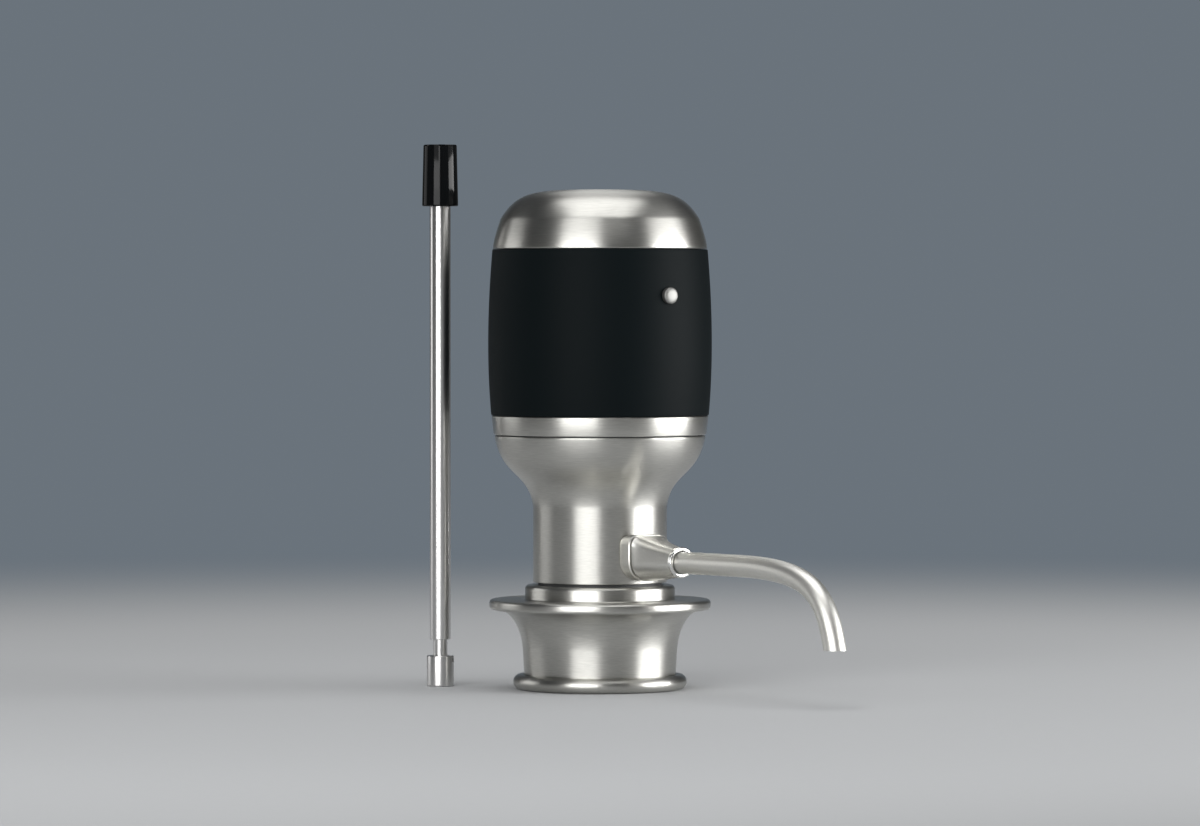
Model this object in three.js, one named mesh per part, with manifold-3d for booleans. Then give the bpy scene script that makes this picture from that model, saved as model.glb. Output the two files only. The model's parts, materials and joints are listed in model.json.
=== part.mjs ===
// Electric wine aerator on its stand, with its draw tube standing beside it.
// Millimetres, +Z up. The origin is on the body's axis, at the surface that the stand rests on.
// The button, the spout and the front of the body face -Y.
import * as THREE from "three";
import { mergeVertices } from "three/addons/utils/BufferGeometryUtils.js";
import Module from "manifold-3d";

const wasm = await Module();
wasm.setup();

// Clearances and cutting
const fit = 0.3; // gap between pieces that seat on or slide in each other
const seam = 0.15; // thin shadow line between two shells
const overrun = 1; // how far a cutting tool runs past a face

// Facets
const shellSides = 32;
const smallSides = 20;
const tinySides = 12;
const spoutSides = 14;
const spoutSteps = 11;
const curveSteps = 6;
const capSteps = 10;
const capInnerSteps = 6;
const bellSteps = 9;
const bellInnerSteps = 7;
const beadSteps = 6;
const rimSteps = 3;
const gasketSteps = 5;
const grooveSteps = 10;
const wireSides = 5;
const wireStepsPerTurn = 8;
const leadSides = 6;
const leadSteps = 12;
const cornerSteps = 3;
const hexSides = 6;

// Stand: a weighted spool with a socket for the bottle seal
const standHeight = 29.8;
const standFloorHeight = 8;
const standBaseRadius = 22.1;
const standBeadRadius = 24.8;
const standBeadBottom = 0.1;
const standBeadHeight = 4.2;
const standFlareBottom = 11;
const standFlangeHeight = 22.8;
const standFlangeRadius = 31.6;
const standRimThickness = 2.85;
const standRingRadius = 21.4;
const standEdge = 0.6;
const flareLowShare = 0.54; // how much of the flare's rise stays close to the base
const flareSpreadShare = 0.45;
const flareHighShare = 0.95;
const footRadius = 20;
const footThickness = 1.7;

// Bottle seal: a silicone cup for the lip of a wine bottle
const sealWall = 2.4;
const sealRoofThickness = 3.6;
const sealEntry = 0.5; // how far the seal stands up into the neck
const sealChamfer = 0.8;
const sealRibDepth = 0.7;
const sealRibPitch = 5;
const sealRibCount = 2;
const sealPocketGap = 0.9;
const nutRadius = 6;
const nutThickness = 1.1;

// Neck and bell
const lipGap = 0.8; // dark gap between the stand's ring and the neck
const neckHeight = 18.7;
const neckRadius = 19.1;
const neckWall = 1.2;
const bellHeight = 23.1;
const bellWall = 1.3;
const bellRimWall = 1.55;
const ledgeDepth = 1.9;
const ledgeThickness = 3;
const ledgeWidth = 7.35;
const bellLowShare = 0.585; // where the bell's lower and upper tangents end
const bellHighShare = 0.44;
const bellSpreadShare = 0.77;

// Trim ring, black band and cap
const ringHeight = 5.4;
const ringStep = 0.15; // how far the ring stands out from the bell
const ringFlare = 0.7;
const bandMargin = 2.7; // how much taller than a cell the band is
const bandStep = 0.05; // how far the band stands out from the ring
const bandTaper = 0.35;
const bandBulge = 1.025;
const bandWall = 2.1;
const capHeight = 16.9;
const capSkirt = 0.7;
const capWall = 1.4;
const bandMiddleShare = 0.45; // height of the widest place
const capShoulderShare = 0.88; // where the cap's side and crown tangents end
const capSideShare = 0.92;
const capCrownShare = 0.8;

// Spout: flange on the neck, tapered boss, bright ring and bent tube
const spoutAboveNeck = 6.8; // centre line above the neck's lower edge
const spoutRadius = 3.1;
const spoutWall = 0.8;
const spoutStart = 9.5;
const spoutStraight = 62.5;
const spoutReach = 103.85;
const spoutDrop = 21.5;
const spoutLeanDegrees = 13.8;
const flangeHalfWidth = 7.05;
const flangeTop = 7.4;
const flangeBottom = 5.7;
const flangeTopCorner = 2.4;
const flangeBottomCorner = 5.6;
const flangeThickness = 3.2;
const bossInset = 0.35;
const bossLength = 13.9;
const bossEndRadius = 4.2;
const bossRingLength = 1.4;
const bossRingLip = 0.2;
const bossShares = [0, 0.3, 0.65, 1]; // sections of the boss along its length
const bossEasePower = 0.85;
const bendRunShare = 0.75; // tangents of the spout's bend
const bendDropShare = 0.77;

// Push button and its switch
const buttonRadius = 2.35;
const buttonBelowBandTop = 13.15;
const buttonProud = 1.5;
const buttonEdge = 0.5;
const buttonTravel = 1;
const buttonFlangeRadius = 3.2;
const buttonFlangeThickness = 0.8;
const plungerRadius = 1.6;
const plungerReach = 1.4;
const switchWidth = 6;
const switchDepth = 3;
const boardThickness = 1.2;
const boardWidth = 12;
const boardFootGap = 1.7; // below the board, above the contact board
const chipShare = 0.8; // chip's side to the switch's

// Manifold: wine passage up the nozzle and out to the spout, air passage beside it
const manifoldTop = 6.1; // above the spout's centre line
const nozzleRadius = 3.8;
const nozzleTip = 14;
const passageRadius = 2.2;
const airRadius = 0.9;
const airOffset = 9;
const valveRadius = 2;
const valveHeight = 3.2;
const tapRadius = 1.5;
const tapShare = 0.4; // how far each tap reaches into the space between manifold and pump
const hoseRadius = 2.9;

// Diaphragm pump
const pumpRadius = 12.6;
const pumpWall = 1.3;
const pumpHeight = 13;
const pumpCoverThickness = 2;
const valvePlateThickness = 1.5;
const diaphragmRadius = 12.2;
const diaphragmThickness = 1;
const bowlRadius = 3.7;
const bowlHeight = 2.6;
const bowlOffset = 6.2;
const bowlCount = 3;
const wobbleThickness = 1.5;
const wobbleArm = 2.2;
const hubRadius = 4.5;
const hubHeight = 3.4;
const pinRadius = 0.7;
const pinOffset = 2;
const pumpScrewCount = 2;

// Screws
const screwRadius = 0.95;
const screwHeadRadius = 1.9;
const screwHeadHeight = 1.3;
const chassisScrewCount = 3;
const chassisScrewInset = 3.5; // from the chassis's edge to each screw
const screwBite = 2;

// Motor
const motorRadius = 10;
const motorLength = 25;
const motorWall = 1;
const motorDrop = 4.3; // how far the motor hangs below the chassis floor
const shaftRadius = 1;
const pressGap = 0.1; // gap of a piece pressed on a shaft or a pin
const rotorRadius = 7.5;
const rotorMargin = 4;

// Chassis: joins bell, trim ring and band, and holds the motor
const chassisThickness = 2;
const chassisWall = 1.2;
const chassisReach = 2.4; // how far its collar stands up into the band
const clampHeight = 7;
const clampWall = 1.5;

// Cells and what carries them
const cellRadius = 5.25;
const cellLength = 44.5;
const cellNubRadius = 1.9;
const cellNubHeight = 1;
const cellInnerWall = 1.05; // from the holder's bore to a cell
const cellOuterWall = 1.75;
const cellCount = 6;
const frontGapDegrees = 72;
const wellClearance = 0.25;
const trayThickness = 1.5;
const boardRingThickness = 1;
const springHeight = 1.6;
const springWire = 0.25;
const springTurns = 2;
const springTopShare = 0.6;
const springBaseRadius = 3.2;
const cellShoulder = 0.45;
const boardRoom = 4; // from the holder to the band's bore
const holderFlange = 3.8;
const boreWall = 1.3; // gap between the motor and the holder's bore
const collarStep = 2; // how far the collar stands out from the holder
const collarWall = 3.2;
const collarHeight = 8;
const slotDepth = 3.7; // from the holder's outside to the back of the board's slot
const windowWidth = 6;
const windowHeight = 5;
const leadRadius = 0.6;
const leadSpread = 1.8;
const leadRise = 3.4;

// Cap lugs and grooves, cap plate and contacts
const lugCount = 3;
const lugHeight = 1.8;
const lugDegrees = 12;
const lugRise = 3.4; // lug's middle above the band's top
const lugBite = 0.8;
const capLift = 9; // rise of the cap in a quarter turn
const grooveDepth = 1.2;
const grooveDegrees = 56;
const gasketThickness = 0.7;
const plateThickness = 1.7;
const plateClearance = 0.5;
const keyWidth = 3.4;
const keyReach = 1.2;
const bridgeThickness = 0.4;
const bridgeWidth = 5;
const bridgeGap = 0.15;
const capPostRadius = 3.2;
const capScrewHeadRadius = 2.4;
const capScrewHeadHeight = 1.1;
const capScrewRadius = 1.2;
const capScrewLength = 5;

// Draw tube standing beside the stand
const tubeX = -28.8;
const tubeY = 37.7;
const tubeFootRadius = 3.9;
const tubeFootHeight = 8.8;
const tubeFootSlot = 1.9;
const tubeFootSlotWidth = 1.1;
const tubeFootSlots = 6;
const tubeFootFloor = 1.5;
const innerTubeRadius = 2.05;
const innerTubeWall = 0.5;
const innerTubeLength = 131;
const outerTubeRadius = 3;
const outerTubeWall = 0.6;
const outerTubeBottom = 13.5;
const outerTubeLength = 126;
const connectorGrip = 1.6; // how far the connector reaches down the outer tube
const connectorLength = 17.7;
const connectorRadius = 5.2;
const connectorTopRadius = 4.8;
const connectorBore = 4.1;
const connectorBoreDepth = 13;
const connectorNotch = 0.6;
const connectorNotches = 6;

// Radii that follow from the sizes above
const sealRadius = neckRadius - neckWall - fit;
const sealMouthRadius = sealRadius - sealWall;
const holderBore = motorRadius + boreWall;
const cellRing = holderBore + cellInnerWall + cellRadius;
const holderRadius = cellRing + cellRadius + cellOuterWall;
const bandBore = holderRadius + boardRoom;
const bandTopRadius = bandBore + bandWall;
const bandBottomRadius = bandTopRadius + bandTaper;
const ringTopRadius = bandBottomRadius - bandStep;
const ringBottomRadius = ringTopRadius - ringFlare;
const bellTopRadius = ringBottomRadius - ringStep;
const ledgeRadius = bellTopRadius - ledgeWidth;
const chassisRadius = bellTopRadius - bellRimWall - fit;
const chassisScrewOffset = chassisRadius - chassisScrewInset;
const bandMiddleRadius = (bandBottomRadius + bandTopRadius) / 2 + bandBulge;
const capRadius = bandTopRadius - seam;
const flangeFront = neckRadius + flangeThickness;
const bossEnd = flangeFront + bossLength;
const ringEnd = bossEnd + bossRingLength;
const ringEndRadius = bossEndRadius + bossRingLip;
const collarRadius = holderRadius + collarStep;
const collarBore = collarRadius - collarWall;
const gasketRadius = collarRadius + 2 * fit + gasketThickness;

// Heights that follow, from the stand up
const neckBottom = standHeight + lipGap;
const sealTopHeight = neckBottom + sealEntry;
const sealRoofHeight = sealTopHeight - sealRoofThickness;
const spoutHeight = neckBottom + spoutAboveNeck;
const spoutTipHeight = spoutHeight - spoutDrop;
const bellBottom = neckBottom + neckHeight;
const bellTop = bellBottom + bellHeight;
const ringBottom = bellTop + fit;
const ringTop = ringBottom + ringHeight;
const bandBottom = ringTop + seam;
const bandHeight = cellLength + bandMargin;
const bandTop = bandBottom + bandHeight;
const capBottom = bandTop + seam;
const capTop = capBottom + capHeight;
const ledgeTop = bellTop - ledgeDepth;
const chassisBottom = ledgeTop + fit;
const chassisFloorTop = chassisBottom + chassisThickness;
const chassisTop = bandBottom + chassisReach;
const motorBottom = chassisBottom - motorDrop;
const motorTop = motorBottom + motorLength;
const trayBottom = chassisTop + fit;
const trayTop = trayBottom + trayThickness;
const boardRingBottom = trayTop + bridgeGap;
const boardRingTop = boardRingBottom + boardRingThickness;
const cellBottom = boardRingTop + springHeight + bridgeGap;
const cellTop = cellBottom + cellLength;
const holderBottom = boardRingTop + bridgeGap;
const collarTop = bandTop + collarHeight;
const bridgeBottom = cellTop + bridgeGap;
const plateBottom = bridgeBottom + bridgeThickness;
const plateTop = plateBottom + plateThickness;
const capPostBottom = plateTop + fit;
const manifoldBottom = sealTopHeight + fit;
const manifoldRoof = spoutHeight + manifoldTop;
const pumpTop = motorBottom - fit;
const pumpBottom = pumpTop - pumpHeight;
const diaphragmTop = pumpBottom - fit;
const diaphragmBottom = diaphragmTop - diaphragmThickness;
const valvePlateTop = diaphragmBottom - fit;
const valvePlateBottom = valvePlateTop - valvePlateThickness;
const coverTop = valvePlateBottom - fit;
const coverBottom = coverTop - pumpCoverThickness;
const buttonHeight = bandTop - buttonBelowBandTop;
const boardTop = buttonHeight + switchWidth;
const boardBottom = boardRingTop + boardFootGap;
const connectorBottom = outerTubeBottom + outerTubeLength - connectorGrip;

// Materials
const polished = 0.15;
const satin = 0.36;
const matte = 0.6;

function steel(color, roughness) {
  return new THREE.MeshStandardMaterial({ color, roughness, metalness: 1 });
}

function plastic(color, roughness) {
  return new THREE.MeshStandardMaterial({ color, roughness, metalness: 0 });
}

const finishes = {
  brushedSteel: steel(0xb9b6b0, satin),
  satinTube: steel(0xc4c2bd, satin),
  brightSteel: steel(0xd8d6d2, polished),
  plainSteel: steel(0xa8a6a2, satin),
  brass: steel(0xb08d4a, satin),
  copper: steel(0xa8643c, satin),
  softBlack: plastic(0x0d0f10, matte),
  glossBlack: plastic(0x07080a, polished),
  silicone: plastic(0x2b2d2f, matte),
  innerPlastic: plastic(0x3a3d40, matte),
  paleSilicone: plastic(0xc9ccd0, matte),
  boardGreen: plastic(0x1f5b36, matte),
  cellWrap: plastic(0x39566b, satin),
  redLead: plastic(0xa32420, matte),
  blackLead: plastic(0x141414, matte),
};

// Geometry helpers

// Merges shared vertices, drops flat triangles and turns the faces outwards.
function closed(geometry) {
  const bare = new THREE.BufferGeometry();
  bare.setAttribute("position", geometry.getAttribute("position"));
  bare.setIndex(geometry.getIndex());
  const merged = mergeVertices(bare);
  const index = [];
  const corners = merged.getIndex().array;
  for (let i = 0; i < corners.length; i += 3) {
    const [a, b, c] = corners.slice(i, i + 3);
    if (a !== b && b !== c && c !== a) index.push(a, b, c);
  }
  merged.setIndex(volume(merged, index) < 0 ? index.reverse() : index);
  return merged;
}

function volume(geometry, index) {
  const position = geometry.getAttribute("position");
  const [a, b, c] = [new THREE.Vector3(), new THREE.Vector3(), new THREE.Vector3()];
  let sum = 0;
  for (let i = 0; i < index.length; i += 3) {
    a.fromBufferAttribute(position, index[i]);
    b.fromBufferAttribute(position, index[i + 1]);
    c.fromBufferAttribute(position, index[i + 2]);
    sum += a.dot(b.cross(c)) / 6;
  }
  return sum;
}

function toSolid(geometry) {
  return new wasm.Manifold(
    new wasm.Mesh({
      numProp: 3,
      vertProperties: new Float32Array(geometry.getAttribute("position").array),
      triVerts: new Uint32Array(geometry.getIndex().array),
    }),
  );
}

function toGeometry(solid) {
  const { vertProperties, triVerts, numProp } = solid.getMesh();
  const geometry = new THREE.BufferGeometry();
  geometry.setAttribute("position", new THREE.BufferAttribute(vertProperties, numProp));
  geometry.setIndex(new THREE.BufferAttribute(triVerts, 1));
  return geometry;
}

function cut(geometry, ...tools) {
  const left = tools.reduce((solid, tool) => solid.subtract(toSolid(tool)), toSolid(geometry));
  return toGeometry(left);
}

function join(geometry, ...others) {
  const whole = others.reduce((solid, other) => solid.add(toSolid(other)), toSolid(geometry));
  return toGeometry(whole);
}

// Turns a profile of [radius, height] pairs about the Z axis.
function revolve(profile, sides = shellSides) {
  const points = profile.map(([radius, height]) => new THREE.Vector2(radius, height));
  return closed(new THREE.LatheGeometry(points, sides).rotateX(Math.PI / 2));
}

// A ring whose profile closes on itself.
function revolveRing(profile, sides = shellSides) {
  return revolve([...profile, profile[0]], sides);
}

function tubeRing(inner, outer, bottom, top, sides = smallSides) {
  return revolveRing([[inner, bottom], [outer, bottom], [outer, top], [inner, top]], sides);
}

function post(radius, bottom, top, sides = smallSides) {
  return revolve([[0, bottom], [radius, bottom], [radius, top], [0, top]], sides);
}

// A round bar along the front axis, between two distances from the body's axis.
function frontBar(radius, start, end, height, sides = smallSides) {
  const bar = new THREE.CylinderGeometry(radius, radius, end - start, sides);
  return closed(bar.translate(0, -(start + end) / 2, height));
}

function block(width, depth, height, x, y, z) {
  return closed(new THREE.BoxGeometry(width, depth, height).translate(x, y, z));
}

function cubic(points, steps = curveSteps) {
  const corners = points.map(([radius, height]) => new THREE.Vector2(radius, height));
  return new THREE.CubicBezierCurve(...corners).getPoints(steps).map(({ x, y }) => [x, y]);
}

function arc(radius, height, size, fromDegrees, toDegrees, steps = curveSteps) {
  return Array.from({ length: steps + 1 }, (_, i) => {
    const angle = THREE.MathUtils.degToRad(fromDegrees + ((toDegrees - fromDegrees) * i) / steps);
    return [radius + size * Math.cos(angle), height + size * Math.sin(angle)];
  });
}

// Moves each point of an open profile sideways by a wall's thickness.
function offset(profile, wall) {
  return profile.map(([radius, height], i) => {
    const before = profile[Math.max(i - 1, 0)];
    const after = profile[Math.min(i + 1, profile.length - 1)];
    const run = Math.hypot(after[0] - before[0], after[1] - before[1]);
    const side = [-(after[1] - before[1]) / run, (after[0] - before[0]) / run];
    return [radius + side[0] * wall, height + side[1] * wall];
  });
}

function radiusAt(profile, height) {
  const i = profile.findIndex(([, z], k) => k > 0 && (z - height) * (profile[k - 1][1] - height) <= 0);
  const [[r0, z0], [r1, z1]] = [profile[i - 1], profile[i]];
  return r0 + ((r1 - r0) * (height - z0)) / (z1 - z0);
}

// Joins like rings of points into a closed body, or into a pipe when the rings of a bore are given.
function loft(sections, bore) {
  const count = sections[0].length;
  const rings = bore ? [...sections, ...[...bore].reverse(), sections[0]] : sections;
  const positions = rings.flat().flatMap((point) => point.toArray());
  const index = [];
  for (let i = 0; i + 1 < rings.length; i++) {
    for (let j = 0; j < count; j++) {
      const a = i * count + j;
      const b = i * count + ((j + 1) % count);
      index.push(a, b, b + count, a, b + count, a + count);
    }
  }
  const last = (rings.length - 1) * count;
  for (let j = 1; j + 1 < count && !bore; j++) {
    index.push(0, j + 1, j);
    index.push(last, last + j, last + j + 1);
  }
  const geometry = new THREE.BufferGeometry();
  geometry.setAttribute("position", new THREE.Float32BufferAttribute(positions, 3));
  geometry.setIndex(index);
  return closed(geometry);
}

// A bar of square section that climbs as it goes round.
function helixBar(inner, outer, middle, height, from, to, climb, steps) {
  const sections = Array.from({ length: steps + 1 }, (_, i) => {
    const angle = from + ((to - from) * i) / steps;
    const z = middle + climb * angle;
    const corners = [[inner, -1], [outer, -1], [outer, 1], [inner, 1]];
    return corners.map(
      ([radius, side]) =>
        new THREE.Vector3(radius * Math.cos(angle), radius * Math.sin(angle), z + (side * height) / 2),
    );
  });
  return loft(sections);
}

function ringOutline(radius, sides) {
  return Array.from({ length: sides }, (_, i) => {
    const angle = (2 * Math.PI * i) / sides;
    return new THREE.Vector2(radius * Math.cos(angle), radius * Math.sin(angle));
  });
}

// A round wire along a curve.
function sweep(curve, radius, sides, steps) {
  const shape = new THREE.Shape(ringOutline(radius, sides));
  return closed(new THREE.ExtrudeGeometry(shape, { steps, extrudePath: curve, bevelEnabled: false }));
}

// Turns a flat outline into a plate that stands across the front axis.
function frontPlate(shape, start, end, height) {
  const depth = end - start;
  const plate = new THREE.ExtrudeGeometry(shape, { depth, bevelEnabled: false, curveSegments: cornerSteps });
  return closed(plate.rotateX(Math.PI / 2).translate(0, -start, height));
}

function around(count, angle, radius) {
  return Array.from({ length: count }, (_, i) => {
    const turn = angle + (2 * Math.PI * i) / count;
    return { x: radius * Math.cos(turn), y: radius * Math.sin(turn), turn };
  });
}

const group = new THREE.Group();

function add(name, geometry, finish, place = [0, 0, 0]) {
  const mesh = new THREE.Mesh(geometry, finishes[finish]);
  mesh.name = name;
  mesh.position.set(...place);
  group.add(mesh);
}

// Stand
function standShell() {
  const beadMiddle = standBeadBottom + standBeadHeight / 2;
  const beadSize = standBeadHeight / 2;
  const rimSize = standRimThickness / 2;
  const rimMiddle = standFlangeHeight + rimSize;
  const beadCentre = standBeadRadius - beadSize;
  const rimCentre = standFlangeRadius - rimSize;
  const rise = standFlangeHeight - standFlareBottom;
  const spread = rimCentre - standBaseRadius;
  const flare = cubic([
    [standBaseRadius, standFlareBottom],
    [standBaseRadius, standFlareBottom + rise * flareLowShare],
    [standBaseRadius + spread * flareSpreadShare, standFlareBottom + rise * flareHighShare],
    [rimCentre, standFlangeHeight],
  ]);
  return revolve([
    [0, footThickness + fit],
    [footRadius + fit, footThickness + fit],
    [footRadius + fit, standBeadBottom],
    ...arc(beadCentre, beadMiddle, beadSize, -90, 90, beadSteps),
    [standBaseRadius, standBeadBottom + standBeadHeight],
    ...flare,
    ...arc(rimCentre, rimMiddle, rimSize, -45, 90, rimSteps),
    [standRingRadius, standFlangeHeight + standRimThickness],
    [standRingRadius, standHeight - standEdge],
    [standRingRadius - standEdge, standHeight],
    [sealRadius + fit + standEdge, standHeight],
    [sealRadius + fit, standHeight - standEdge],
    [sealRadius + fit, standFloorHeight],
    [0, standFloorHeight],
  ]);
}

function standFoot() {
  return post(footRadius, 0, footThickness, shellSides);
}

// Bottle seal with its lip ribs
function bottleSeal() {
  const bottom = standFloorHeight + fit;
  const ribs = [];
  for (let i = sealRibCount; i > 0; i--) {
    const middle = bottom + sealRibPitch * i;
    ribs.push([sealMouthRadius, middle + sealRibDepth]);
    ribs.push([sealMouthRadius - sealRibDepth, middle]);
    ribs.push([sealMouthRadius, middle - sealRibDepth]);
  }
  const pocketRadius = nutRadius + sealPocketGap;
  const pocketRoof = sealRoofHeight + nutThickness + fit;
  const cup = revolveRing([
    [sealRadius - sealChamfer, bottom],
    [sealRadius, bottom + sealChamfer],
    [sealRadius, sealTopHeight],
    [nozzleRadius + fit, sealTopHeight],
    [nozzleRadius + fit, pocketRoof],
    [pocketRadius, pocketRoof],
    [pocketRadius, sealRoofHeight],
    [sealMouthRadius, sealRoofHeight],
    ...ribs,
    [sealMouthRadius, bottom + sealChamfer],
    [sealMouthRadius + sealChamfer, bottom],
  ], smallSides);
  const airHole = post(airRadius, sealRoofHeight - overrun, sealTopHeight + overrun, tinySides);
  return cut(cup, airHole.translate(0, airOffset, 0));
}

function nozzleNut() {
  const nut = post(nutRadius, sealRoofHeight + fit / 2, sealRoofHeight + nutThickness, hexSides);
  return cut(nut, post(nozzleRadius + fit, sealRoofHeight - overrun, sealTopHeight));
}

// Manifold
function manifold() {
  const tapTop = manifoldRoof + (coverBottom - manifoldRoof) * tapShare;
  const lead = nozzleRadius - passageRadius;
  const body = revolve([
    [0, nozzleTip],
    [nozzleRadius - lead / 2, nozzleTip],
    [nozzleRadius, nozzleTip + lead],
    [nozzleRadius, manifoldBottom],
    [neckRadius - neckWall - fit, manifoldBottom],
    [neckRadius - neckWall - fit, manifoldRoof],
    [0, manifoldRoof],
  ]);
  const tap = post(tapRadius, manifoldRoof - overrun, tapTop, tinySides).translate(0, airOffset, 0);
  const rise = post(passageRadius, nozzleTip - overrun, spoutHeight + passageRadius, tinySides);
  const turn = frontBar(passageRadius, -passageRadius, spoutStart, spoutHeight, tinySides);
  const socket = frontBar(spoutRadius + fit, spoutStart - fit, neckRadius, spoutHeight);
  const pocketTop = manifoldBottom + valveHeight + fit;
  const air = post(airRadius, manifoldBottom - overrun, tapTop + overrun, tinySides);
  const pocket = post(valveRadius + fit, manifoldBottom - overrun, pocketTop, tinySides);
  air.translate(0, airOffset, 0);
  pocket.translate(0, airOffset, 0);
  return cut(join(body, tap), rise, turn, socket, air, pocket);
}

function checkValve() {
  const bottom = manifoldBottom + fit / 2;
  const lip = airRadius / 2;
  return revolveRing([
    [airRadius, bottom],
    [valveRadius, bottom],
    [valveRadius, bottom + valveHeight / 2],
    [airRadius + lip, bottom + valveHeight],
    [lip, bottom + valveHeight],
    [airRadius, bottom + valveHeight / 2],
  ], tinySides);
}

// Neck, bell, trim ring, band and cap
const bellGuide = [
  [neckRadius, bellBottom],
  [neckRadius, bellBottom + bellHeight * bellLowShare],
  [THREE.MathUtils.lerp(neckRadius, bellTopRadius, bellSpreadShare), bellBottom + bellHeight * bellHighShare],
  [bellTopRadius, bellTop],
];

function bellShell() {
  const ledgeBottom = ledgeTop - ledgeThickness;
  const bore = neckRadius - neckWall;
  const lining = offset(cubic(bellGuide, bellInnerSteps), bellWall);
  const inside = lining.filter(([, z]) => z > bellBottom && z < ledgeBottom - bellWall);
  const rim = bellTopRadius - bellRimWall;
  const shell = revolveRing([
    [neckRadius - seam, neckBottom],
    [neckRadius, neckBottom + seam],
    ...cubic(bellGuide, bellSteps),
    [rim, bellTop],
    [rim, ledgeTop],
    [ledgeRadius, ledgeTop],
    [ledgeRadius, ledgeBottom],
    ...inside.reverse(),
    [bore, bellBottom],
    [bore, neckBottom],
  ]);
  const spoutHole = frontBar(spoutRadius + fit, neckRadius / 2, neckRadius + overrun, spoutHeight);
  const holes = chassisScrewPlaces.map(({ x, y }) =>
    post(screwRadius + fit / 2, ledgeTop - screwBite - fit, ledgeTop + overrun, tinySides).translate(x, y, 0),
  );
  return cut(shell, spoutHole, ...holes);
}

function trimRing() {
  const bore = bellTopRadius - bellRimWall;
  return revolveRing([
    [bore, ringBottom],
    [ringBottomRadius - seam, ringBottom],
    [ringBottomRadius, ringBottom + seam],
    [ringTopRadius, ringTop - seam],
    [ringTopRadius - seam, ringTop],
    [bore, ringTop],
  ]);
}

const bandPull = 2 * bandMiddleRadius - (bandBottomRadius + bandTopRadius) / 2;
const bandCurve = new THREE.QuadraticBezierCurve(
  new THREE.Vector2(bandBottomRadius, bandBottom),
  new THREE.Vector2(bandPull, bandBottom + bandHeight * bandMiddleShare),
  new THREE.Vector2(bandTopRadius, bandTop),
).getPoints(curveSteps).map(({ x, y }) => [x, y]);

function band() {
  const shell = revolveRing([[bandBore, bandBottom], ...bandCurve, [bandBore, bandTop]]);
  return cut(shell, frontBar(buttonRadius + fit, bandBore / 2, bandMiddleRadius + overrun, buttonHeight));
}

const capGuide = [
  [capRadius, capBottom + capSkirt],
  [capRadius * capShoulderShare, capBottom + capHeight * capSideShare],
  [capRadius * capCrownShare, capTop],
  [0, capTop],
];

const lugClimb = capLift / (Math.PI / 2);
const lugHalf = THREE.MathUtils.degToRad(lugDegrees) / 2;
const lugMiddle = bandTop + lugRise;

function lugs() {
  const inner = collarRadius - lugBite;
  const outer = capRadius - capWall / 2;
  return around(lugCount, 0, 1).map(({ turn }) =>
    helixBar(inner, outer, lugMiddle, lugHeight, -lugHalf, lugHalf, lugClimb, 2).rotateZ(turn),
  );
}

function grooves() {
  const start = -lugHalf - (2 * fit) / collarRadius;
  const end = THREE.MathUtils.degToRad(grooveDegrees);
  const height = lugHeight + 2 * fit;
  const inner = collarRadius - grooveDepth;
  const outer = collarRadius + overrun;
  return around(lugCount, 0, 1).map(({ turn }) =>
    helixBar(inner, outer, lugMiddle, height, start, end, lugClimb, grooveSteps).rotateZ(turn),
  );
}

function batteryCap() {
  const lining = offset(cubic(capGuide, capInnerSteps), capWall);
  const inside = lining.filter(([radius]) => radius > capPostRadius);
  const holeTop = capPostBottom + capScrewLength + fit;
  const shell = revolve([
    [0, holeTop],
    [capScrewRadius + fit / 2, holeTop],
    [capScrewRadius + fit / 2, capPostBottom],
    [capPostRadius, capPostBottom],
    [capPostRadius, capTop - capWall],
    ...inside.reverse(),
    [capRadius - capWall, capBottom],
    [capRadius, capBottom],
    ...cubic(capGuide, capSteps),
  ]);
  return join(shell, ...lugs());
}

function capGasket() {
  const middle = bandTop + gasketThickness + fit;
  return revolve(arc(gasketRadius, middle, gasketThickness, 0, 360, gasketSteps), smallSides);
}

// Chassis with its motor clamp, and its screws
const chassisScrewPlaces = around(chassisScrewCount, Math.PI / 2, chassisScrewOffset);

function chassis() {
  const clampBore = motorRadius + fit;
  const frame = revolveRing([
    [clampBore, chassisBottom],
    [chassisRadius, chassisBottom],
    [chassisRadius, chassisTop],
    [chassisRadius - chassisWall, chassisTop],
    [chassisRadius - chassisWall, chassisFloorTop],
    [clampBore + clampWall, chassisFloorTop],
    [clampBore + clampWall, chassisFloorTop + clampHeight],
    [clampBore, chassisFloorTop + clampHeight],
  ], smallSides);
  const holes = chassisScrewPlaces.map(({ x, y }) =>
    post(screwRadius + fit, chassisBottom - overrun, chassisFloorTop + overrun, tinySides).translate(x, y, 0),
  );
  return cut(frame, ...holes);
}

function screw(headBottom, tip) {
  return revolve([
    [0, tip],
    [screwRadius, tip],
    [screwRadius, headBottom],
    [screwHeadRadius, headBottom],
    [screwHeadRadius, headBottom + screwHeadHeight],
    [0, headBottom + screwHeadHeight],
  ], tinySides);
}

// Pump
const pumpScrewPlaces = around(pumpScrewCount, 0, pumpRadius - screwHeadRadius - fit);

function pumpScrewHoles(bottom, top) {
  return pumpScrewPlaces.map(({ x, y }) =>
    post(screwRadius + fit, bottom - overrun, top + overrun, tinySides).translate(x, y, 0),
  );
}

function pumpCover() {
  const cover = post(pumpRadius, coverBottom, coverTop, smallSides);
  const tapBottom = coverBottom - (coverBottom - manifoldRoof) * tapShare;
  const tap = post(tapRadius, tapBottom, coverTop, tinySides).translate(0, airOffset, 0);
  const air = post(airRadius, tapBottom - overrun, coverTop + overrun, tinySides).translate(0, airOffset, 0);
  return cut(join(cover, tap), air, ...pumpScrewHoles(coverBottom, coverTop));
}

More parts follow.
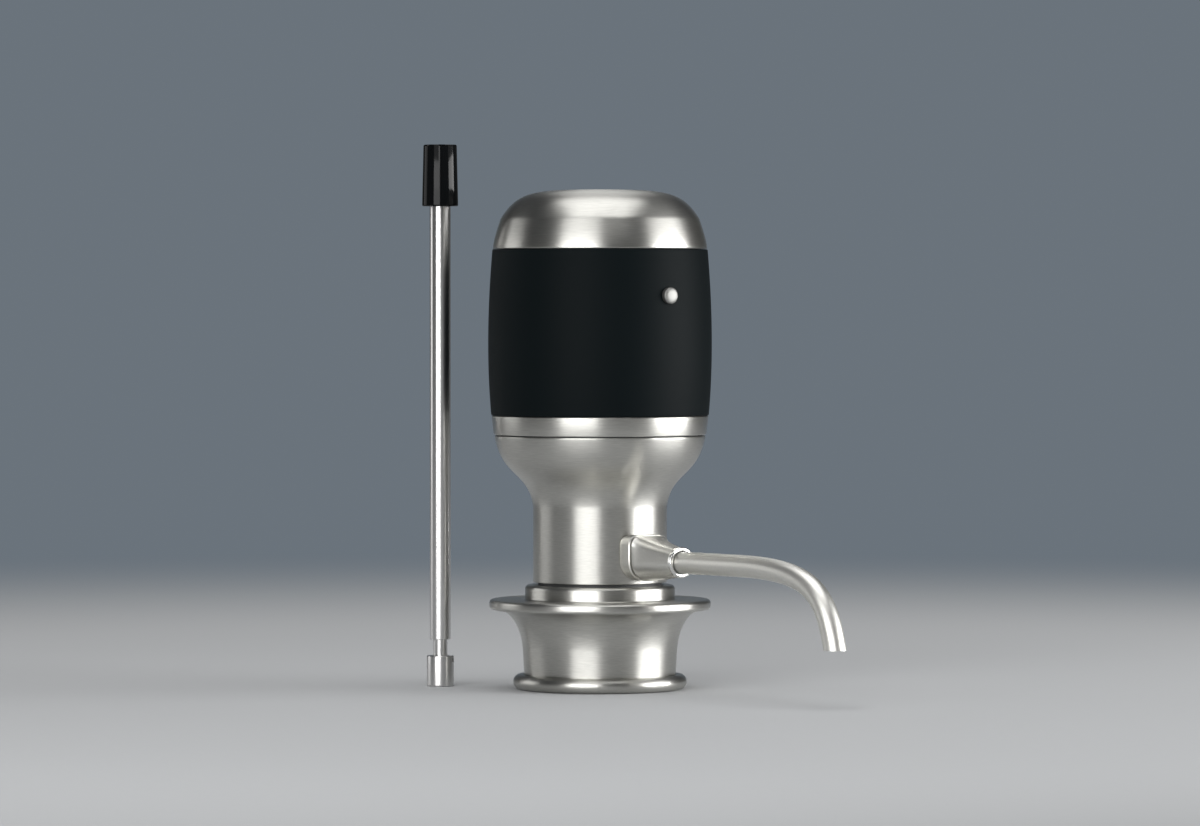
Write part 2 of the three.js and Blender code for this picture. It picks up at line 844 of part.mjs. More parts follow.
function valvePlate() {
  const plate = post(pumpRadius, valvePlateBottom, valvePlateTop, smallSides);
  const ports = around(bowlCount, Math.PI / 2, bowlOffset).map(({ x, y }) =>
    post(airRadius, valvePlateBottom - overrun, valvePlateTop + overrun, tinySides).translate(x, y, 0),
  );
  return cut(plate, ...ports, ...pumpScrewHoles(valvePlateBottom, valvePlateTop));
}

function diaphragm() {
  const sheet = post(diaphragmRadius, diaphragmBottom, diaphragmTop, smallSides);
  const waist = bowlRadius - pumpWall;
  const bowls = around(bowlCount, Math.PI / 2, bowlOffset).map(({ x, y }) =>
    revolve([
      [0, diaphragmBottom + diaphragmThickness / 2],
      [bowlRadius, diaphragmBottom + diaphragmThickness / 2],
      [waist, diaphragmTop + bowlHeight],
      [0, diaphragmTop + bowlHeight],
    ], tinySides).translate(x, y, 0),
  );
  return cut(join(sheet, ...bowls), ...pumpScrewHoles(diaphragmBottom, diaphragmTop));
}

const wobbleBottom = diaphragmTop + bowlHeight + fit;
const wobbleTop = wobbleBottom + wobbleThickness;

function wobblePlate() {
  const hub = post(wobbleArm + pinRadius, wobbleBottom, wobbleTop, tinySides);
  const arms = around(bowlCount, Math.PI / 2, bowlOffset / 2).map(({ x, y, turn }) => {
    const arm = new THREE.BoxGeometry(bowlOffset, wobbleArm, wobbleThickness);
    return closed(arm.rotateZ(turn).translate(x, y, (wobbleBottom + wobbleTop) / 2));
  });
  const tips = around(bowlCount, Math.PI / 2, bowlOffset).map(({ x, y }) =>
    post(wobbleArm, wobbleBottom, wobbleTop, tinySides).translate(x, y, 0),
  );
  const bore = post(pinRadius + pinOffset / 2, wobbleBottom - overrun, wobbleTop + overrun, tinySides);
  return cut(join(hub, ...arms, ...tips), bore);
}

function pumpHousing() {
  const shell = revolveRing([
    [pumpRadius - pumpWall, pumpBottom],
    [pumpRadius, pumpBottom],
    [pumpRadius, pumpTop],
    [shaftRadius + fit, pumpTop],
    [shaftRadius + fit, pumpTop - pumpWall],
    [pumpRadius - pumpWall, pumpTop - pumpWall],
  ], smallSides);
  const bosses = pumpScrewPlaces.map(({ x, y }) =>
    post(screwHeadRadius, pumpBottom, pumpBottom + pumpHeight / 2, tinySides).translate(x, y, 0),
  );
  const holeTop = pumpBottom + screwBite + fit;
  const holes = pumpScrewPlaces.map(({ x, y }) =>
    post(screwRadius + fit / 2, pumpBottom - overrun, holeTop, tinySides).translate(x, y, 0),
  );
  return cut(join(shell, ...bosses), ...holes);
}

// Motor and what it turns
const hubTop = pumpTop - pumpWall - fit;
const hubBottom = hubTop - hubHeight;

function motorCan() {
  const shaftBore = shaftRadius + fit;
  return revolveRing([
    [shaftBore, motorBottom],
    [motorRadius, motorBottom],
    [motorRadius, motorTop],
    [shaftBore, motorTop],
    [shaftBore, motorTop - motorWall],
    [motorRadius - motorWall, motorTop - motorWall],
    [motorRadius - motorWall, motorBottom + motorWall],
    [shaftBore, motorBottom + motorWall],
  ], smallSides);
}

function motorShaft() {
  return post(shaftRadius, hubTop - hubHeight / 2, motorTop - fit, tinySides);
}

function motorRotor() {
  return tubeRing(shaftRadius + pressGap, rotorRadius, motorBottom + rotorMargin, motorTop - rotorMargin);
}

function eccentricHub() {
  const hub = post(hubRadius, hubBottom, hubTop);
  const shaftHole = post(shaftRadius + pressGap, hubTop - hubHeight / 2 - fit, hubTop + overrun, tinySides);
  const pinHole = post(pinRadius + pressGap, hubBottom - overrun, hubTop - hubHeight / 2, tinySides);
  return cut(hub, shaftHole, pinHole.translate(pinOffset, 0, 0));
}

function drivePin() {
  const foot = wobbleBottom + fit;
  const top = hubBottom + hubHeight / 2 - fit;
  const knee = hubBottom - fit;
  const section = (x, z) => ringOutline(pinRadius, tinySides).map((p) => new THREE.Vector3(p.x + x, p.y, z));
  return loft([section(0, foot), section(pinOffset, knee), section(pinOffset, top)]);
}

// Battery tray, contact board, springs, holder and cells
const cellPlaces = Array.from({ length: cellCount }, (_, i) => {
  const pitch = (360 - frontGapDegrees) / (cellCount - 1);
  const turn = THREE.MathUtils.degToRad(-90 + frontGapDegrees / 2 + pitch * i);
  return { x: cellRing * Math.cos(turn), y: cellRing * Math.sin(turn), turn };
});

function batteryTray() {
  return tubeRing(holderBore, chassisRadius, trayBottom, trayTop);
}

function contactBoard() {
  return tubeRing(holderBore, holderRadius, boardRingBottom, boardRingTop);
}

function contactSpring() {
  class Spiral extends THREE.Curve {
    getPoint(t, target = new THREE.Vector3()) {
      const angle = 2 * Math.PI * springTurns * t;
      const radius = springBaseRadius * (1 - (1 - springTopShare) * t);
      const height = springWire + (springHeight - 2 * springWire) * t;
      return target.set(radius * Math.cos(angle), radius * Math.sin(angle), height);
    }
  }
  return sweep(new Spiral(), springWire, wireSides, wireStepsPerTurn * springTurns);
}

function cell() {
  const bodyTop = cellLength - cellNubHeight;
  return revolve([
    [0, 0],
    [cellRadius - cellShoulder, 0],
    [cellRadius, cellShoulder],
    [cellRadius, bodyTop - cellShoulder],
    [cellRadius - cellShoulder, bodyTop],
    [cellNubRadius, bodyTop],
    [cellNubRadius, cellLength],
    [0, cellLength],
  ], tinySides);
}

function batteryHolder() {
  const flangeRadius = bandBore - fit;
  const flangeBottom = bandTop - holderFlange;
  const body = revolveRing([
    [holderBore, holderBottom],
    [holderRadius, holderBottom],
    [holderRadius, flangeBottom],
    [flangeRadius, flangeBottom],
    [flangeRadius, bandTop],
    [collarRadius, bandTop],
    [collarRadius, collarTop],
    [collarBore, collarTop],
    [collarBore, bandTop],
    [holderBore, bandTop],
  ]);
  const wells = cellPlaces.map(({ x, y }) =>
    post(cellRadius + wellClearance, holderBottom - overrun, bandTop + overrun).translate(x, y, 0),
  );
  const slotBack = holderRadius - slotDepth;
  const slotFront = chassisRadius + overrun;
  const slotWidth = boardWidth + 2 * fit;
  const slotHeight = flangeBottom - holderBottom + overrun;
  const slot = block(slotWidth, slotFront - slotBack, slotHeight,
    0, -(slotBack + slotFront) / 2, flangeBottom - slotHeight / 2);
  const windowDepth = slotBack - holderBore + 2 * overrun;
  const window = block(windowWidth, windowDepth, windowHeight,
    0, -(holderBore + slotBack) / 2, motorTop + leadRise + overrun);
  const keyDepth = keyReach + 2 * fit;
  const keyway = block(keyWidth + 2 * fit, 2 * keyDepth, collarHeight + overrun,
    0, collarBore, bandTop + (collarHeight + overrun) / 2);
  return cut(body, ...wells, slot, window, keyway, ...grooves());
}

// Control board, switch, button and motor leads
const boardBack = holderRadius - slotDepth + fit;
const boardFront = boardBack + boardThickness;
const bandFront = radiusAt(bandCurve, buttonHeight);
const flangeFace = Math.sqrt(bandBore ** 2 - buttonFlangeRadius ** 2) - fit;
const flangeBack = flangeFace - buttonFlangeThickness;
const switchFront = boardFront + fit / 2 + switchDepth;

function controlBoard() {
  const middle = -(boardBack + boardFront) / 2;
  const half = (boardBottom + boardTop) / 2;
  const board = block(boardWidth, boardThickness, boardTop - boardBottom, 0, middle, half);
  const chipSide = switchWidth * chipShare;
  const chip = block(chipSide, 2 * boardThickness, chipSide, 0, -boardFront, boardBottom + chipSide);
  const driver = block(chipSide, 2 * boardThickness, chipSide / 2, 0, -boardFront, half);
  return join(board, chip, driver);
}

function switchBody() {
  const middle = boardFront + fit / 2 + switchDepth / 2;
  const body = block(switchWidth, switchDepth, switchWidth, 0, -middle, buttonHeight);
  const pocketBack = switchFront - plungerReach - buttonTravel - fit;
  return cut(body, frontBar(plungerRadius + fit, pocketBack, switchFront + overrun, buttonHeight, tinySides));
}

function switchPlunger() {
  return frontBar(plungerRadius, switchFront - plungerReach, flangeBack, buttonHeight, tinySides);
}

function buttonCap() {
  const face = bandFront + buttonProud;
  const profile = [
    [0, flangeBack],
    [buttonFlangeRadius, flangeBack],
    [buttonFlangeRadius, flangeFace],
    [buttonRadius, flangeFace],
    [buttonRadius, face - buttonEdge],
    [buttonRadius - buttonEdge, face],
    [0, face],
  ];
  return revolve(profile, smallSides).rotateX(Math.PI / 2).translate(0, 0, buttonHeight);
}

function motorLead(side) {
  const x = side * leadSpread;
  const start = motorTop + fit;
  const top = motorTop + leadRise + overrun;
  const path = new THREE.CurvePath();
  const bend = leadRise / 2;
  const y = -motorRadius / 2;
  path.add(new THREE.LineCurve3(new THREE.Vector3(x, y, start), new THREE.Vector3(x, y, top - bend)));
  path.add(new THREE.QuadraticBezierCurve3(
    new THREE.Vector3(x, y, top - bend),
    new THREE.Vector3(x, y, top),
    new THREE.Vector3(x, y - bend, top),
  ));
  path.add(new THREE.LineCurve3(
    new THREE.Vector3(x, y - bend, top),
    new THREE.Vector3(x, fit - boardBack, top),
  ));
  return sweep(path, leadRadius, leadSides, leadSteps);
}

// Cap plate, bridges and screw
function capPlate() {
  const radius = collarBore - plateClearance;
  const plate = post(radius, plateBottom, plateTop, shellSides);
  const key = block(keyWidth, 2 * keyReach, plateThickness, 0, radius, (plateBottom + plateTop) / 2);
  const hole = post(capScrewRadius + fit, plateBottom - overrun, plateTop + overrun, tinySides);
  return cut(join(plate, key), hole);
}

function contactBridge(first, second) {
  const length = Math.hypot(second.x - first.x, second.y - first.y);
  const half = bridgeWidth / 2;
  const shape = new THREE.Shape();
  shape.absarc(-length / 2, 0, half, Math.PI / 2, -Math.PI / 2);
  shape.absarc(length / 2, 0, half, -Math.PI / 2, Math.PI / 2);
  const depth = bridgeThickness;
  const strip = new THREE.ExtrudeGeometry(shape, { depth, bevelEnabled: false, curveSegments: cornerSteps });
  const turn = Math.atan2(second.y - first.y, second.x - first.x);
  const middle = [(first.x + second.x) / 2, (first.y + second.y) / 2, bridgeBottom];
  return closed(strip).rotateZ(turn).translate(...middle);
}

function capScrew() {
  const headBottom = plateBottom - fit / 2 - capScrewHeadHeight;
  return revolve([
    [0, headBottom],
    [capScrewHeadRadius, headBottom],
    [capScrewHeadRadius, headBottom + capScrewHeadHeight],
    [capScrewRadius, headBottom + capScrewHeadHeight],
    [capScrewRadius, capPostBottom + capScrewLength],
    [0, capPostBottom + capScrewLength],
  ], tinySides);
}

// Spout
function shieldOutline(inset) {
  const half = flangeHalfWidth - inset;
  const top = flangeTop - inset;
  const bottom = flangeBottom - inset;
  const quarter = Math.PI / 2;
  const highX = half - flangeTopCorner;
  const highY = top - flangeTopCorner;
  const lowX = half - flangeBottomCorner;
  const lowY = flangeBottomCorner - bottom;
  const shape = new THREE.Shape();
  shape.absarc(highX, highY, flangeTopCorner, 0, quarter);
  shape.absarc(-highX, highY, flangeTopCorner, quarter, 2 * quarter);
  shape.absarc(-lowX, lowY, flangeBottomCorner, -2 * quarter, -quarter);
  shape.absarc(lowX, lowY, flangeBottomCorner, -quarter, 0);
  return shape;
}

function spoutFlange() {
  const plate = frontPlate(shieldOutline(0), neckRadius / 2, flangeFront, spoutHeight);
  const low = spoutHeight - flangeBottom - overrun;
  const neck = post(neckRadius + seam, low, spoutHeight + flangeTop + overrun, shellSides);
  const bore = frontBar(spoutRadius + fit, 0, flangeFront + overrun, spoutHeight);
  return cut(plate, neck, bore);
}

function spoutBoss() {
  const start = flangeFront + fit;
  const outline = shieldOutline(bossInset).getPoints(cornerSteps);
  const sections = bossShares.map((share) =>
    outline.map((p) => {
      const reach = Math.hypot(p.x, p.y);
      const ease = share ** bossEasePower;
      const radius = THREE.MathUtils.lerp(reach, bossEndRadius, ease) / reach;
      const y = -THREE.MathUtils.lerp(start, bossEnd, share);
      return new THREE.Vector3(p.x * radius, y, spoutHeight + p.y * radius);
    }),
  );
  return cut(loft(sections), frontBar(spoutRadius + fit, start - overrun, bossEnd + overrun, spoutHeight));
}

function bossRing() {
  const ring = revolveRing([
    [spoutRadius + fit, bossEnd + seam],
    [ringEndRadius, bossEnd + seam],
    [ringEndRadius, ringEnd - seam],
    [ringEndRadius - seam, ringEnd],
    [spoutRadius + fit, ringEnd],
  ], smallSides);
  return ring.rotateX(Math.PI / 2).translate(0, 0, spoutHeight);
}

// Rings along the spout: one at each end of its straight run, then round the bend to a level tip.
function spoutSections(radius) {
  const lean = THREE.MathUtils.degToRad(spoutLeanDegrees);
  const bend = spoutReach - spoutStraight;
  const pull = (spoutHeight - spoutTipHeight) * bendDropShare;
  const curve = new THREE.CubicBezierCurve(
    new THREE.Vector2(spoutStraight, spoutHeight),
    new THREE.Vector2(spoutStraight + bend * bendRunShare, spoutHeight),
    new THREE.Vector2(spoutReach - pull * Math.sin(lean), spoutTipHeight + pull * Math.cos(lean)),
    new THREE.Vector2(spoutReach, spoutTipHeight),
  );
  const centres = [new THREE.Vector2(spoutStart, spoutHeight), ...curve.getPoints(spoutSteps)];
  const tangents = centres.slice(1).map((_, i) => curve.getTangent(i / spoutSteps));
  const headings = [new THREE.Vector2(1, 0), ...tangents];
  return centres.map((centre, i) => {
    const heading = headings[i];
    const isTip = i === centres.length - 1;
    return ringOutline(radius, spoutSides).map(({ x, y }) => {
      const reach = centre.x - heading.y * y;
      const height = centre.y + heading.x * y;
      const slide = isTip ? (spoutTipHeight - height) / heading.y : 0;
      return new THREE.Vector3(x, -(reach + heading.x * slide), height + heading.y * slide);
    });
  });
}

function spoutTube() {
  return loft(spoutSections(spoutRadius), spoutSections(spoutRadius - spoutWall));
}

// Draw tube
function tubeFoot() {
  const bore = innerTubeRadius + fit / 2;
  const body = tubeRing(bore, tubeFootRadius, 0, tubeFootHeight);
  const floorHole = post(bore, tubeFootFloor, tubeFootHeight + overrun);
  const slots = around(tubeFootSlots, 0, (bore + tubeFootRadius) / 2).map(({ x, y, turn }) => {
    const slot = new THREE.BoxGeometry(tubeFootRadius, tubeFootSlotWidth, tubeFootSlot + overrun);
    const z = tubeFootHeight - (tubeFootSlot - overrun) / 2;
    return closed(slot.rotateZ(turn).translate(x, y, z));
  });
  return cut(body, floorHole, ...slots);
}

function innerTube() {
  const top = tubeFootFloor + innerTubeLength;
  return tubeRing(innerTubeRadius - innerTubeWall, innerTubeRadius, tubeFootFloor, top);
}

function outerTube() {
  const top = outerTubeBottom + outerTubeLength;
  return tubeRing(outerTubeRadius - outerTubeWall, outerTubeRadius, outerTubeBottom, top);
}

function tubeConnector() {
  const top = connectorBottom + connectorLength;
  const boreBottom = top - connectorBoreDepth;
  const tubeTop = outerTubeBottom + outerTubeLength + fit;
  const body = revolveRing([
    [outerTubeRadius + fit / 2, connectorBottom],
    [connectorRadius, connectorBottom],
    [connectorTopRadius, top],
    [connectorBore, top],
    [connectorBore, boreBottom],
    [outerTubeRadius - outerTubeWall, boreBottom],
    [outerTubeRadius - outerTubeWall, tubeTop],
    [outerTubeRadius + fit / 2, tubeTop],
  ]);
  const notches = around(connectorNotches, 0, connectorTopRadius).map(({ x, y, turn }) => {
    const notch = new THREE.BoxGeometry(connectorNotch, 2 * connectorNotch, 2 * connectorNotch);
    return closed(notch.rotateZ(turn).translate(x, y, top));
  });
  return cut(body, ...notches);
}

// Assembly
add("stand_shell", standShell(), "brushedSteel");
add("stand_foot", standFoot(), "silicone");

add("bottle_seal", bottleSeal(), "silicone");
add("nozzle_nut", nozzleNut(), "plainSteel");
add("manifold", manifold(), "innerPlastic");
add("check_valve", checkValve(), "paleSilicone", [0, airOffset, 0]);
add("spout_flange", spoutFlange(), "brushedSteel");
add("spout_boss", spoutBoss(), "brushedSteel");
add("boss_ring", bossRing(), "brightSteel");
add("spout_tube", spoutTube(), "satinTube");

add("bell_shell", bellShell(), "brushedSteel");
add("trim_ring", trimRing(), "brushedSteel");
add("barrel", band(), "softBlack");
add("chassis", chassis(), "innerPlastic");
chassisScrewPlaces.forEach(({ x, y }, i) => {
  const place = [x, y, 0];
  add(`chassis_screw_${i + 1}`, screw(chassisFloorTop + fit / 2, ledgeTop - screwBite), "plainSteel", place);
});

const hoseBottom = manifoldRoof + fit;
const hoseTop = coverBottom - fit;
const hose = tubeRing(tapRadius + fit / 2, hoseRadius, hoseBottom, hoseTop, tinySides);
add("air_hose", hose, "paleSilicone", [0, airOffset, 0]);
add("pump_cover", pumpCover(), "innerPlastic");
add("valve_plate", valvePlate(), "paleSilicone");
add("diaphragm", diaphragm(), "paleSilicone");
add("wobble_plate", wobblePlate(), "innerPlastic");
add("pump_housing", pumpHousing(), "innerPlastic");
pumpScrewPlaces.forEach(({ x, y }, i) => {
  const headTop = coverBottom - fit / 2;
  const tip = pumpBottom + screwBite;
  const flipped = screw(-headTop, -tip).rotateX(Math.PI);
  add(`pump_screw_${i + 1}`, flipped, "plainSteel", [x, y, 0]);
});

add("motor_can", motorCan(), "plainSteel");
add("motor_shaft", motorShaft(), "plainSteel");
add("motor_rotor", motorRotor(), "copper");
add("eccentric_hub", eccentricHub(), "brass");
add("drive_pin", drivePin(), "plainSteel");

add("battery_tray", batteryTray(), "innerPlastic");
add("contact_board", contactBoard(), "boardGreen");
add("battery_holder", batteryHolder(), "innerPlastic");
cellPlaces.forEach(({ x, y }, i) => {
  const nubUp = i % 2 === 0;
  const body = nubUp ? cell() : cell().rotateX(Math.PI).translate(0, 0, cellLength);
  add(`cell_${i + 1}`, body, "cellWrap", [x, y, cellBottom]);
});
cellPlaces.filter((_, i) => i % 2 === 0).forEach(({ x, y }, i) => {
  add(`contact_spring_${i + 1}`, contactSpring(), "brass", [x, y, boardRingTop + bridgeGap / 2]);
});

add("control_board", controlBoard(), "boardGreen");
add("switch_body", switchBody(), "innerPlastic");
add("switch_plunger", switchPlunger(), "glossBlack");
add("button_cap", buttonCap(), "brightSteel");
add("motor_lead_red", motorLead(1), "redLead");
add("motor_lead_black", motorLead(-1), "blackLead");

add("cap_plate", capPlate(), "innerPlastic");
for (let i = 0; i + 1 < cellCount; i += 2) {
  add(`contact_bridge_${i / 2 + 1}`, contactBridge(cellPlaces[i], cellPlaces[i + 1]), "brass");
}
add("cap_screw", capScrew(), "plainSteel");
add("cap_gasket", capGasket(), "silicone");
add("battery_cap", batteryCap(), "brushedSteel");

const tubePlace = [tubeX, tubeY, 0];
add("tube_foot", tubeFoot(), "brightSteel", tubePlace);
add("inner_tube", innerTube(), "satinTube", tubePlace);
add("outer_tube", outerTube(), "satinTube", tubePlace);
add("tube_connector", tubeConnector(), "glossBlack", tubePlace);

export default group;
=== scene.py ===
"""Electric wine aerator on its stand, with its draw tube standing beside it.

Metres, +Z up. The body's axis is the Z axis, and the button and the spout face -Y.
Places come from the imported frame, and the sizes that it doesn't give are settings in the sidebar.
"""

import json
import math

import bmesh
import bpy
from bpy.props import FloatProperty, FloatVectorProperty, PointerProperty
from mathutils import Matrix, Vector
from mathutils.geometry import interpolate_bezier


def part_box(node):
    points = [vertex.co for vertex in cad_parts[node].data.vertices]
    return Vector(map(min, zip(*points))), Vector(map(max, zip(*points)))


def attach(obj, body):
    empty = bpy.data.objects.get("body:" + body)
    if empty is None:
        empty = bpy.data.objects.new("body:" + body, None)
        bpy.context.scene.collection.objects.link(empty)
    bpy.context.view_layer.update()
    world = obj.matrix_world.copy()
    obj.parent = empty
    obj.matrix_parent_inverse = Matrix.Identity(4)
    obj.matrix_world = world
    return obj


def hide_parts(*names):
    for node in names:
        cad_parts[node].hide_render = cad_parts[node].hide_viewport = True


bl_info = {
    "name": "Electric Wine Aerator",
    "version": (1, 0, 0),
    "blender": (4, 5, 0),
    "location": "3D View > Sidebar > Aerator",
    "description": "Fine surfaces, finishes and stage for an electric wine aerator",
    "category": "Add Mesh",
}

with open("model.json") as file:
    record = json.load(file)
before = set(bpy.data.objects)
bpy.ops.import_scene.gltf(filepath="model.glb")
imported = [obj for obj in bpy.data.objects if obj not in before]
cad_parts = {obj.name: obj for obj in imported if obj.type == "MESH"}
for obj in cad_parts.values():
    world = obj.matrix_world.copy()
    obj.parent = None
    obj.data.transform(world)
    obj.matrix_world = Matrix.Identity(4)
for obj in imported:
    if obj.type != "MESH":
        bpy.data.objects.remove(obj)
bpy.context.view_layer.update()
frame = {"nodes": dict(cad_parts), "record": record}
record = frame["record"]
body_of = {node: body for body, nodes in record["behaviour"]["bodies"].items() for node in nodes}
slot_of = {part["node"]: part["material_slot"] for part in record["subparts"]}


def size(label, about, default):
    """A length that the sidebar shows."""
    return FloatProperty(name=label, description=about, default=default, min=0, unit="LENGTH", precision=5)


def share(label, about, default):
    """A share from 0 to 1 that the sidebar shows."""
    return FloatProperty(name=label, description=about, default=default, min=0, max=1, subtype="FACTOR")


def turn(label, about, default):
    """An angle in degrees that the sidebar shows."""
    return FloatProperty(name=label, description=about, default=math.radians(default), subtype="ANGLE")


def colour(label, about, default):
    """A linear colour that the sidebar shows."""
    return FloatVectorProperty(
        name=label, description=about, default=default, min=0, max=1, size=3, subtype="COLOR"
    )


class CommonSettings(bpy.types.PropertyGroup):
    fit: size("Fit", "Gap between pieces that seat on or slide in each other", 0.0003)
    seam: size("Seam", "Shadow line between two shells", 0.00015)
    edge: size("Edge", "Radius that breaks a shell's edge", 0.00025)


class StandSettings(bpy.types.PropertyGroup):
    bead_radius: size("Bead radius", "Outer radius of the bead at the bottom", 0.0248)
    bead_height: size("Bead height", "Height of the bead", 0.0042)
    bead_bottom: size("Bead bottom", "Height of the bead's underside", 0.0001)
    waist_radius: size("Waist radius", "Radius of the straight part", 0.0221)
    waist_top: size("Waist top", "Height where the flare starts", 0.0119)
    flange_bottom: size("Flange bottom", "Height of the rim's underside", 0.0228)
    rim_thickness: size("Rim thickness", "Thickness of the rounded rim", 0.00285)
    rim_round: size("Rim round", "Radius of the rim's two edges", 0.00095)
    crease: size("Crease", "Depth of the crease between the flare and the rim", 0.0003)
    crease_reach: share("Crease reach", "Crease's distance in from the rim's middle, as a share", 0.35)
    pad_flat: share("Pad flat", "Radius of the pad's raised middle, as a share of the pad", 0.8)
    pad_step: share("Pad step", "Radius where the pad's rim starts, as a share of the pad", 0.82)
    ring_radius: size("Ring radius", "Outer radius of the ring on the flange", 0.0214)
    ring_round: size("Ring round", "Radius of the ring's upper edge", 0.0011)
    join_round: size("Join round", "Radius of the hollow where two faces meet", 0.0005)
    socket_floor: size("Socket floor", "Height of the socket's floor", 0.008)


class BodySettings(bpy.types.PropertyGroup):
    neck_radius: size("Neck radius", "Radius of the neck", 0.0191)
    neck_top: size("Neck top", "Height where the bell starts", 0.0522)
    wall: size("Wall", "Thickness of the bell's wall", 0.0013)
    rim_wall: size("Rim wall", "Thickness of the bell's rim", 0.00155)
    ledge_radius: size("Ledge radius", "Inner radius of the ledge in the bell", 0.0225)
    ledge_thickness: size("Ledge thickness", "Thickness of the ledge in the bell", 0.003)
    ring_bottom_radius: size("Ring bottom radius", "Radius of the trim ring's lower edge", 0.0303)
    band_bottom_radius: size("Band bottom radius", "Radius of the band's lower edge", 0.03105)
    band_top_radius: size("Band top radius", "Radius of the band's upper edge", 0.0307)
    band_wall: size("Band wall", "Thickness of the band at its upper edge", 0.0021)
    cap_crease: size("Cap crease", "Height of the cap's crease above its lower edge", 0.0087)
    cap_wall: size("Cap wall", "Thickness of the cap's wall", 0.0014)
    lug_reach: size("Lug reach", "Distance of the cap's lugs from the axis", 0.0258)
    lug_height: size("Lug height", "Height of a lug", 0.0018)
    lug_rise: size("Lug rise", "Height of a lug's middle above the cap's lower edge", 0.00325)
    lug_climb: size("Lug climb", "Rise of a lug for each radian", 0.00573)
    post_radius: size("Post radius", "Radius of the post that takes the cap's screw", 0.0032)
    screw_radius: size("Screw radius", "Radius of the cap's screw", 0.0012)


class ButtonSettings(bpy.types.PropertyGroup):
    radius: size("Radius", "Radius of the button where it passes through the band", 0.00235)
    flange: size("Flange", "Thickness of the flange behind the band", 0.0008)
    dome: size("Dome", "Rise of the button's dome", 0.0003)
    dome_side: FloatProperty(name="Dome side", description="Depth of the dome's side, in rises", default=2.4, min=1)
    dome_flat: share("Dome flat", "Reach of the dome's flat middle, as a share of the radius", 0.85)


class SpoutSettings(bpy.types.PropertyGroup):
    wall: size("Wall", "Thickness of the tube's wall", 0.0008)
    straight: size("Straight", "Reach where the bend starts", 0.0625)
    reach: size("Reach", "Reach of the tip's centre", 0.10385)
    lean: turn("Lean", "Lean of the tip from the vertical", 13.8)
    bend_run: share("Bend run", "Length of the bend's upper tangent, as a share of its reach", 0.75)
    bend_drop: share("Bend drop", "Length of the bend's lower tangent, as a share of its drop", 0.77)
    plate_half: size("Plate half width", "Half the width of the plate on the neck", 0.00705)
    plate_top: size("Plate top", "Height of the plate above the tube's centre", 0.0074)
    plate_bottom: size("Plate bottom", "Depth of the plate below the tube's centre", 0.0057)
    plate_front: size("Plate front", "Distance of the plate's face from the axis", 0.0223)
    top_corner: size("Top corner", "Radius of the plate's upper corners", 0.003)
    bottom_corner: size("Bottom corner", "Radius of the plate's lower corners", 0.0056)
    gap: size("Gap", "Depth of the gap round the plate where it meets the neck", 0.0003)
    boss_radius: size("Boss radius", "Radius that the boss's shield shape rounds off to", 0.0069)
    boss_end_radius: size("Boss end radius", "Radius of the boss at its end", 0.0042)
    groove: size("Groove", "Depth of the groove between the plate and the boss", 0.0008)
    boss_step: size("Boss step", "Step from the plate's outline in to the boss", 0.0001)


class SealSettings(bpy.types.PropertyGroup):
    wall: size("Wall", "Thickness of the cup's wall", 0.0024)
    roof: size("Roof", "Thickness of the cup's roof", 0.0036)
    lead: size("Lead", "Radius of the outer edge that leads into the stand", 0.001)
    rib: size("Rib", "Depth of the ribs that grip the bottle's lip", 0.0007)
    pitch: size("Rib pitch", "Distance between the ribs", 0.005)
    nozzle: size("Nozzle", "Radius of the nozzle that passes through the roof", 0.0038)
    pocket: size("Pocket", "Space round the nozzle's nut", 0.0009)
    air_hole: size("Air hole", "Radius of the air hole", 0.0009)
    air_offset: size("Air offset", "Distance of the air hole from the axis", 0.009)


class HolderSettings(bpy.types.PropertyGroup):
    bore: size("Bore", "Radius of the space for the motor", 0.0113)
    radius: size("Radius", "Outer radius below the flange", 0.0246)
    flange: size("Flange", "Thickness of the flange under the band's top", 0.0038)
    collar_radius: size("Collar radius", "Outer radius of the collar that carries the cap", 0.0266)
    collar_wall: size("Collar wall", "Thickness of the collar", 0.0032)
    collar_height: size("Collar height", "Height of the collar", 0.008)
    clearance: size("Clearance", "Space round each cell", 0.00025)
    slot_width: size("Slot width", "Width of the slot for the control board", 0.0126)
    slot_depth: size("Slot depth", "Depth of that slot", 0.0037)
    window_width: size("Window width", "Width of the opening for the motor's leads", 0.006)
    window_height: size("Window height", "Height of that opening", 0.005)
    window_rise: size("Window rise", "Middle of that opening above the motor", 0.0044)
    key_width: size("Key width", "Width of the notch for the cap plate's key", 0.004)
    key_depth: size("Key depth", "Depth of that notch", 0.0018)
    groove_height: size("Groove height", "Height of the grooves for the cap's lugs", 0.0024)
    groove_depth: size("Groove depth", "Depth of those grooves", 0.0012)
    groove_rise: size("Groove rise", "Height of a lug at rest above the band's top", 0.0034)
    groove_start: turn("Groove start", "Where a groove starts, before the lug's middle", 7.3)
    groove_end: turn("Groove end", "Where a groove ends, after the lug's middle", 56)


class TubeSettings(bpy.types.PropertyGroup):
    outer_wall: size("Outer wall", "Wall of the outer tube", 0.0006)
    inner_wall: size("Inner wall", "Wall of the inner tube", 0.0005)
    slot_width: size("Slot width", "Width of the slots in the foot", 0.0014)
    slot_depth: size("Slot depth", "Depth of the slots in the foot", 0.0019)
    connector_top: size("Connector top radius", "Radius of the connector's upper end", 0.0048)
    connector_bore: size("Connector bore", "Radius of the connector's bore", 0.0041)
    connector_bore_depth: size("Connector bore depth", "Depth of the connector's bore", 0.013)
    notch: size("Notch", "Width of the notches in the connector's upper edge", 0.0009)


